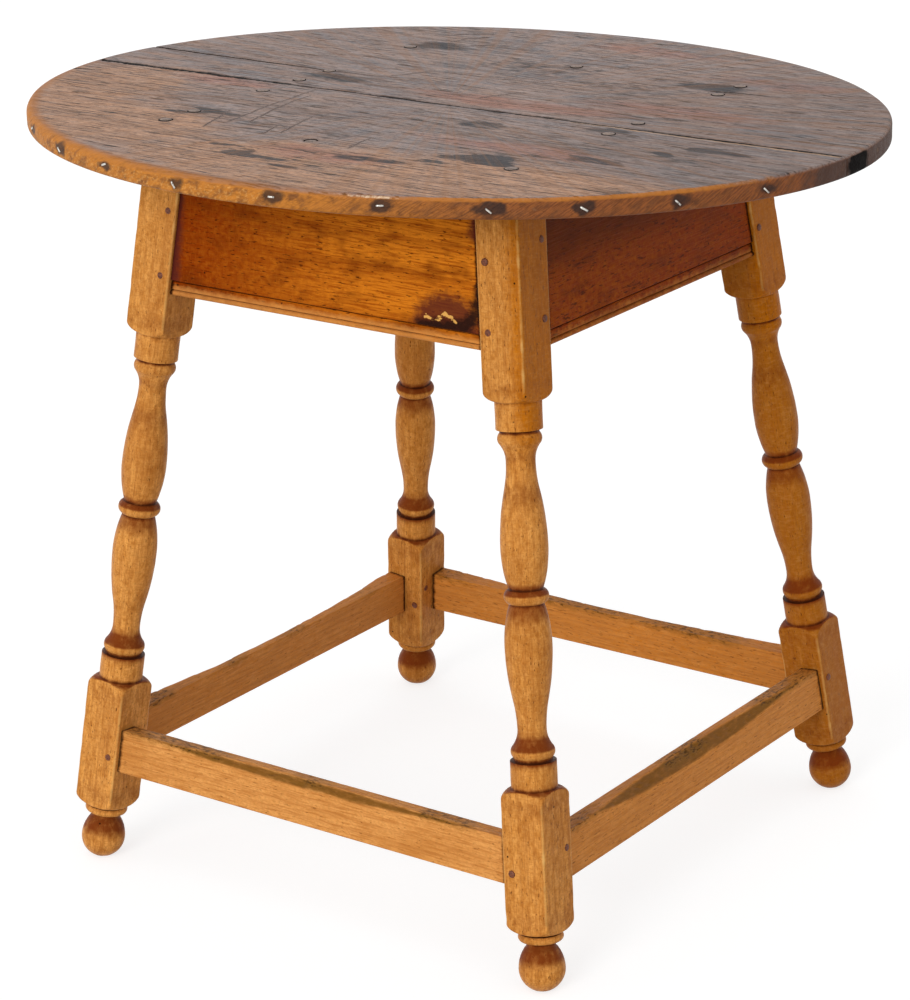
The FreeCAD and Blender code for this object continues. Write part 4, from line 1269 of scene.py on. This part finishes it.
tools = [cutter("crack_tool", crack_prisms), cutter("hole_tool", hole_prisms)]
for board, piece in boards.items():
    piece.data.materials.append(top_pine)
    for tool in tools:
        cut = piece.modifiers.new(tool.name, "BOOLEAN")
        cut.object = tool
        cut.solver = "EXACT"
        cut.material_mode = "TRANSFER"
    keep_made(piece)
    stand_for(piece, "top_pine", f"top_{board}_board")
for tool in tools:
    bpy.data.objects.remove(tool)

# The pegs and top pins. Split from hardwood and whittled to rough facets, driven through the tenons
# and down through the boards. They stand a little proud, because the wood round them has worn and
# shrunk, except for one pin that has sunk.
peg_radius = 3.2 * mm
peg_facets = 9
peg_dome = 0.5 * mm
peg_uneven_share = 0.08
peg_lump_share = 0.7
peg_seed = 1
# The rings along a peg: a share of its length, a share of its radius, and which way the end is domed.
peg_ring_shares = [
    (-0.5, 0.55, 0), (-0.5, 0.92, -1), (-0.47, 1, 0),
    (0.47, 1, 0), (0.5, 0.92, 1), (0.5, 0.55, 0),
]
peg_twists = {"Seed": 7, "Turn": math.pi, "Lean": math.radians(2.5), "Least size": 0.99, "Most size": 1.04}


def whittled(name, length, radius, facets, seed):
    # A stick with uneven facets and slightly domed ends, standing on Z about its own middle.
    circle = round_of(facets)
    spots = np.column_stack([circle, np.full(facets, seed)])
    reach = radius * (1 + peg_uneven_share * wobble(spots, peg_lump_share, seed))
    rings = []
    for length_share, radius_share, dome in peg_ring_shares:
        height = np.full(facets, length_share * length - dome * peg_dome)
        rings.append(np.column_stack([radius_share * reach[:, None] * circle, height]))
    piece = skin(name, np.array(rings), {})
    piece.data.set_sharp_from_angle(angle=sharp_turn)
    return piece


def strew(name, spots, facings, lies, pattern, material, twists):
    # Copies of a pattern, one on each spot with its Z along the facing and its X near the lie, each
    # with its own small turn, lean and size, made by geometry nodes and then kept as one plain mesh.
    mesh = bpy.data.meshes.new(name)
    mesh.from_pydata([tuple(spot) for spot in spots], [], [])
    keep_facts(mesh, {"facing": facings, "lie": lies})
    piece = add_piece(name, mesh)
    tree = bpy.data.node_groups.new(f"strew_{name}", "GeometryNodeTree")
    kinds = {"Pattern": "Object", "Turn": "Float", "Lean": "Float", "Least size": "Float",
             "Most size": "Float", "Seed": "Int", "Finish": "Material"}
    tree.interface.new_socket("Geometry", in_out="INPUT", socket_type="NodeSocketGeometry")
    tree.interface.new_socket("Geometry", in_out="OUTPUT", socket_type="NodeSocketGeometry")
    sockets = {
        key: tree.interface.new_socket(key, in_out="INPUT", socket_type=f"NodeSocket{kind}")
        for key, kind in kinds.items()
    }
    given = tree.nodes.new("NodeGroupInput").outputs
    facing = add_node(tree, "GeometryNodeInputNamedAttribute", {"Name": "facing"}, data_type="FLOAT_VECTOR")
    lie = add_node(tree, "GeometryNodeInputNamedAttribute", {"Name": "lie"}, data_type="FLOAT_VECTOR")
    aimed = add_node(tree, "FunctionNodeAlignRotationToVector", {"Vector": facing}, axis="Z")
    laid = add_node(tree, "FunctionNodeAlignRotationToVector", {"Rotation": aimed, "Vector": lie},
                    axis="X", pivot_axis="Z")
    most = add_node(tree, "ShaderNodeCombineXYZ", {
        "X": given["Lean"], "Y": given["Lean"], "Z": given["Turn"]})
    least = add_node(tree, "ShaderNodeVectorMath", {"Vector": most, "Scale": -1}, operation="SCALE")
    twist = add_node(tree, "FunctionNodeRandomValue", {"Min": least, "Max": most, "Seed": given["Seed"]},
                     data_type="FLOAT_VECTOR")
    turned = add_node(tree, "FunctionNodeRotateRotation", {"Rotation": laid, "Rotate By": twist},
                      rotation_space="LOCAL")
    size = add_node(tree, "FunctionNodeRandomValue", {
        "Min": given["Least size"], "Max": given["Most size"], "Seed": given["Seed"]}, data_type="FLOAT")
    shape = add_node(tree, "GeometryNodeObjectInfo", {"Object": given["Pattern"]}).outputs["Geometry"]
    copies = add_node(tree, "GeometryNodeInstanceOnPoints", {
        "Points": given["Geometry"], "Instance": shape, "Rotation": turned, "Scale": size})
    real = add_node(tree, "GeometryNodeRealizeInstances", {"Geometry": copies})
    finished = add_node(tree, "GeometryNodeSetMaterial", {"Geometry": real, "Material": given["Finish"]})
    add_node(tree, "NodeGroupOutput", {"Geometry": finished})
    strewing = piece.modifiers.new("strew", "NODES")
    strewing.node_group = tree
    for key, value in dict(twists, Pattern=pattern, Finish=material).items():
        strewing[sockets[key].identifier] = value
    keep_made(piece)
    bpy.data.objects.remove(pattern)
    return piece


# Riven oak gone red-brown, with open pores and dirt in the end grain.
peg_pore = 1.2 * mm
peg_relief_depth = 0.25 * mm
peg_dull_share = 0.5
peg_specular_share = 0.3
peg_oak, tree = start_material("whittled_oak_peg")
place = add_node(tree, "ShaderNodeTexCoord", {}).outputs["Object"]
pores = cloud(tree, place, peg_pore, 1, detail=4)
finish_wood(tree, "#7d4429", [
    ("#3c1c10", lumps(tree, place, peg_pore, 1, 0.4, 0.65, 0.9)),
], pores, peg_relief_depth, peg_dull_share, peg_specular_share)

peg_nodes = [f"{kind}_pegs_{corner}" for kind in ("rail", "stretcher") for corner in leg_signs]
peg_spots = []
peg_facings = []
for node in peg_nodes:
    for part in loose_parts(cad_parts[node]):
        middle = part.mean(axis=0)
        far = part[np.argmax(np.linalg.norm(part - middle, axis=1))]
        heads = part[np.linalg.norm(part - far, axis=1) < leg_width / 2]
        facing = heads.mean(axis=0) - middle
        if facing @ middle < 0:
            facing = -facing
        peg_spots.append(middle)
        peg_facings.append(facing)
peg_length = 2 * np.linalg.norm(peg_facings[0])
along_table = (1, 0, 0)
pegs = strew("drawbore_pegs", peg_spots, peg_facings, [along_table] * len(peg_spots),
             whittled("peg_pattern", peg_length, peg_radius, peg_facets, peg_seed), peg_oak, peg_twists)
stand_for(pegs, "peg_wood", *peg_nodes)

# The top pins wear the same grey as the boards they fill, their sides darkened with dirt and painted shade.
pin_radius = 5.4 * mm
pin_facets = 12
pin_length = 17.5 * mm
pin_drop = 0.1 * mm
pin_sunk_place = np.array([-23, -176]) * mm + middle_of_legs
pin_sunk_drop = 1.3 * mm
pin_seed = 4
pin_twists = {"Seed": 3, "Turn": math.pi, "Lean": 0, "Least size": 0.98, "Most size": 1}
pin_weave = 2.2 * mm
pin_specular_share = 0.35
pin_side_shares = (0.85, 0.4)
pin_oak, tree = start_material("weathered_oak_pin")
place = add_node(tree, "ShaderNodeTexCoord", {}).outputs["Object"]
pores = cloud(tree, place, peg_pore, 1, detail=4)
facing_out = add_node(tree, "ShaderNodeNewGeometry", {}).outputs["Normal"]
facing_up = add_node(tree, "ShaderNodeSeparateXYZ", {"Vector": facing_out}).outputs["Z"]
side_dirt_and_shade = add_node(tree, "ShaderNodeMapRange", {
    "Value": facing_up, "From Min": pin_side_shares[0], "From Max": pin_side_shares[1]})
finish_wood(tree, "#8f7a6d", [
    ("#5f4d45", lumps(tree, place, pin_weave, 1.5, 0.42, 0.62, 0.8)),
    ("#2c211d", lumps(tree, place, peg_pore, 1, 0.52, 0.7, 0.6)),
    ("#17100d", side_dirt_and_shade),
], pores, peg_relief_depth, peg_dull_share, pin_specular_share)
pin_drops = np.full(len(pin_spots), pin_drop)
pin_drops[np.argmin(np.linalg.norm(pin_spots - pin_sunk_place, axis=1))] = pin_sunk_drop
pin_tops = cad_box[1][2] - pin_drops
pin_middles = np.column_stack([pin_spots, pin_tops - pin_length / 2])
upwards = (0, 0, 1)
pins = strew("top_pins", pin_middles, [upwards] * len(pin_middles), [along_table] * len(pin_middles),
             whittled("pin_pattern", pin_length, pin_radius, pin_facets, pin_seed), pin_oak, pin_twists)
stand_for(pins, "peg_wood", "top_pins_front_board", "top_pins_rear_board")

# The nails. Ten thin iron nails were driven into the rim of the front board, snipped and knocked
# over along it, and their bent stubs are polished bright in a dark stain.
nail_radius = 0.9 * mm
nail_proud = 1.3 * mm
nail_stub = 6 * mm
nail_root = 6 * mm
nail_bed = 1.7 * mm
nail_sides = 8
nail_hook_share = 0.3
nail_slump_share = 0.3
bend_steps = 6
nail_twists = {"Seed": 12, "Turn": math.radians(38), "Lean": math.radians(5),
               "Least size": 0.9, "Most size": 1.05}
nail_line = [(0, 0, -nail_root)]
for turn in np.linspace(0, math.pi / 2, bend_steps):
    nail_line.append((nail_radius * (1 - math.cos(turn)), 0,
                      nail_proud - nail_radius * 2 + nail_radius * math.sin(turn)))
nail_line.append((nail_stub, nail_hook_share * nail_radius, nail_line[-1][2]))
nail_line = np.array(nail_line)
nail_rings = []
for place, ahead in zip(nail_line, np.gradient(nail_line, axis=0)):
    ahead = Vector(ahead).normalized()
    aside = ahead.cross(Vector((0, 1, 0))).normalized()
    across = np.array([aside, aside.cross(ahead)])
    nail_rings.append(place + nail_radius * round_of(nail_sides) @ across)
nail_pattern = skin("nail_pattern", np.array(nail_rings), {})

# Wrought iron rubbed bright: a white glint, with brown rust and dark scale in its pits.
iron_pit = 1.4 * mm
iron_relief_depth = 0.2 * mm
bare_iron_shares = {"Metallic": 0.8, "Roughness": 0.3}
rusty_iron_shares = {"Metallic": 0.2, "Roughness": 0.75}
iron, tree = start_material("rubbed_wrought_iron")
place = add_node(tree, "ShaderNodeTexCoord", {}).outputs["Object"]
pits = cloud(tree, place, iron_pit, 1, detail=4)
rust = lumps(tree, place, iron_pit, 1, 0.54, 0.68, 1)
iron_tone = add_node(tree, "ShaderNodeMix", {
    "Factor": rust, "A": linear("#d8d4cc"), "B": linear("#4a382c")}, data_type="RGBA")
bump = add_node(tree, "ShaderNodeBump", {"Height": pits, "Distance": iron_relief_depth})
iron_inputs = {"Base Color": iron_tone, "Normal": bump}
for key, bare_share in bare_iron_shares.items():
    iron_inputs[key] = add_node(tree, "ShaderNodeMapRange", {
        "Value": rust, "To Min": bare_share, "To Max": rusty_iron_shares[key]})
iron_shader = add_node(tree, "ShaderNodeBsdfPrincipled", iron_inputs)
add_node(tree, "ShaderNodeOutputMaterial", {"Surface": iron_shader})

nail_spots = []
nail_facings = []
nail_lies = []
for tip in nail_tips:
    facing = Vector((tip[0] / top_half_length ** 2, tip[1] / top_half_width ** 2, 0)).normalized()
    nail_spots.append(tip - nail_bed * np.array(facing))
    nail_facings.append(facing)
    nail_lies.append(Vector(upwards).cross(facing) - nail_slump_share * Vector(upwards))
nails = strew("rim_nails", nail_spots, nail_facings, nail_lies, nail_pattern, iron, nail_twists)
stand_for(nails, "nail_iron", "edge_nails")

# The floor. A pale studio sweep that shows white to the camera and keeps the soft shadow.
floor_half = 14
floor_drop = 0.2 * mm
floor_glow = 0.72
floor_corners = [(-1, -1), (1, -1), (1, 1), (-1, 1)]
floor_mesh = bpy.data.meshes.new("floor")
floor_points = [(x * floor_half, y * floor_half, -floor_drop) for x, y in floor_corners]
floor_mesh.from_pydata(floor_points, [], [(0, 1, 2, 3)])
floor = add_piece("floor", floor_mesh)


def shown_rays(tree):
    # 1 for the rays that show the background, straight, in gloss or through glass, and 0 for the rest.
    rays = add_node(tree, "ShaderNodeLightPath", {}).outputs
    shown = rays["Is Camera Ray"]
    for kind in ("Is Glossy Ray", "Is Transmission Ray"):
        shown = add_node(tree, "ShaderNodeMath", {"Value": shown, "Value_001": rays[kind]},
                         operation="MAXIMUM")
    return shown


paper, tree = start_material("white_studio_paper")
shown = shown_rays(tree)
plain = add_node(tree, "ShaderNodeBsdfDiffuse", {"Color": linear("#d8d6d2")})
shadowed = add_node(tree, "ShaderNodeBsdfDiffuse", {"Color": linear("#a6a6a6")})
glow = add_node(tree, "ShaderNodeEmission", {"Color": linear("#ffffff"), "Strength": floor_glow})
both = add_node(tree, "ShaderNodeAddShader", {"Shader": shadowed, "Shader_001": glow})
paper_shader = add_node(tree, "ShaderNodeMixShader", {"Fac": shown, "Shader": plain, "Shader_001": both})
add_node(tree, "ShaderNodeOutputMaterial", {"Surface": paper_shader})
floor_mesh.materials.append(paper)

# The light. A broad soft key from the left of the camera, and an even pale room about it.
wall_strength = 0.74
key_strength = 1.55
key_width = math.radians(30)
key_from = Vector((0.06, -1, 0.4))
room = bpy.data.worlds.new("studio")
room.use_nodes = True
tree = room.node_tree
tree.nodes.clear()
shown = shown_rays(tree)
walls = add_node(tree, "ShaderNodeBackground", {"Color": linear("#ffffff"), "Strength": wall_strength})
backdrop = add_node(tree, "ShaderNodeBackground", {"Color": linear("#ffffff"), "Strength": 1})
room_shader = add_node(tree, "ShaderNodeMixShader", {"Fac": shown, "Shader": walls, "Shader_001": backdrop})
add_node(tree, "ShaderNodeOutputWorld", {"Surface": room_shader})
bpy.context.scene.world = room
key = bpy.data.lights.new("key", "SUN")
key.energy = key_strength
key.angle = key_width
key_lamp = add_piece("key", key)
key_lamp.rotation_euler = key_from.to_track_quat("Z", "Y").to_euler()

# The camera stands at the photograph's place: in front, to the right and a little above the top.
photo_azimuth = math.radians(35.90)
photo_elevation = math.radians(19.22)
photo_roll = math.radians(-1.40)
camera_place = frame_shift @ Vector((1.64871, -2.29469, 1.30241))
photo_height_pixels = 1000
focal_pixels = 3284.2
sensor = 36
camera_data = bpy.data.cameras.new("camera")
camera_data.sensor_fit = "VERTICAL"
camera_data.sensor_height = sensor
camera_data.lens = focal_pixels / photo_height_pixels * sensor
camera = add_piece("camera", camera_data)
back = Vector((math.sin(photo_azimuth) * math.cos(photo_elevation),
               -math.cos(photo_azimuth) * math.cos(photo_elevation), math.sin(photo_elevation)))
right = Vector((math.cos(photo_azimuth), math.sin(photo_azimuth), 0))
level = Matrix((right, back.cross(right), back)).transposed()
rolled = level @ Matrix.Rotation(photo_roll, 3, "Z")
camera.matrix_world = Matrix.Translation(camera_place) @ rolled.to_4x4()
bpy.context.scene.camera = camera
bpy.context.scene.view_settings.view_transform = "Standard"
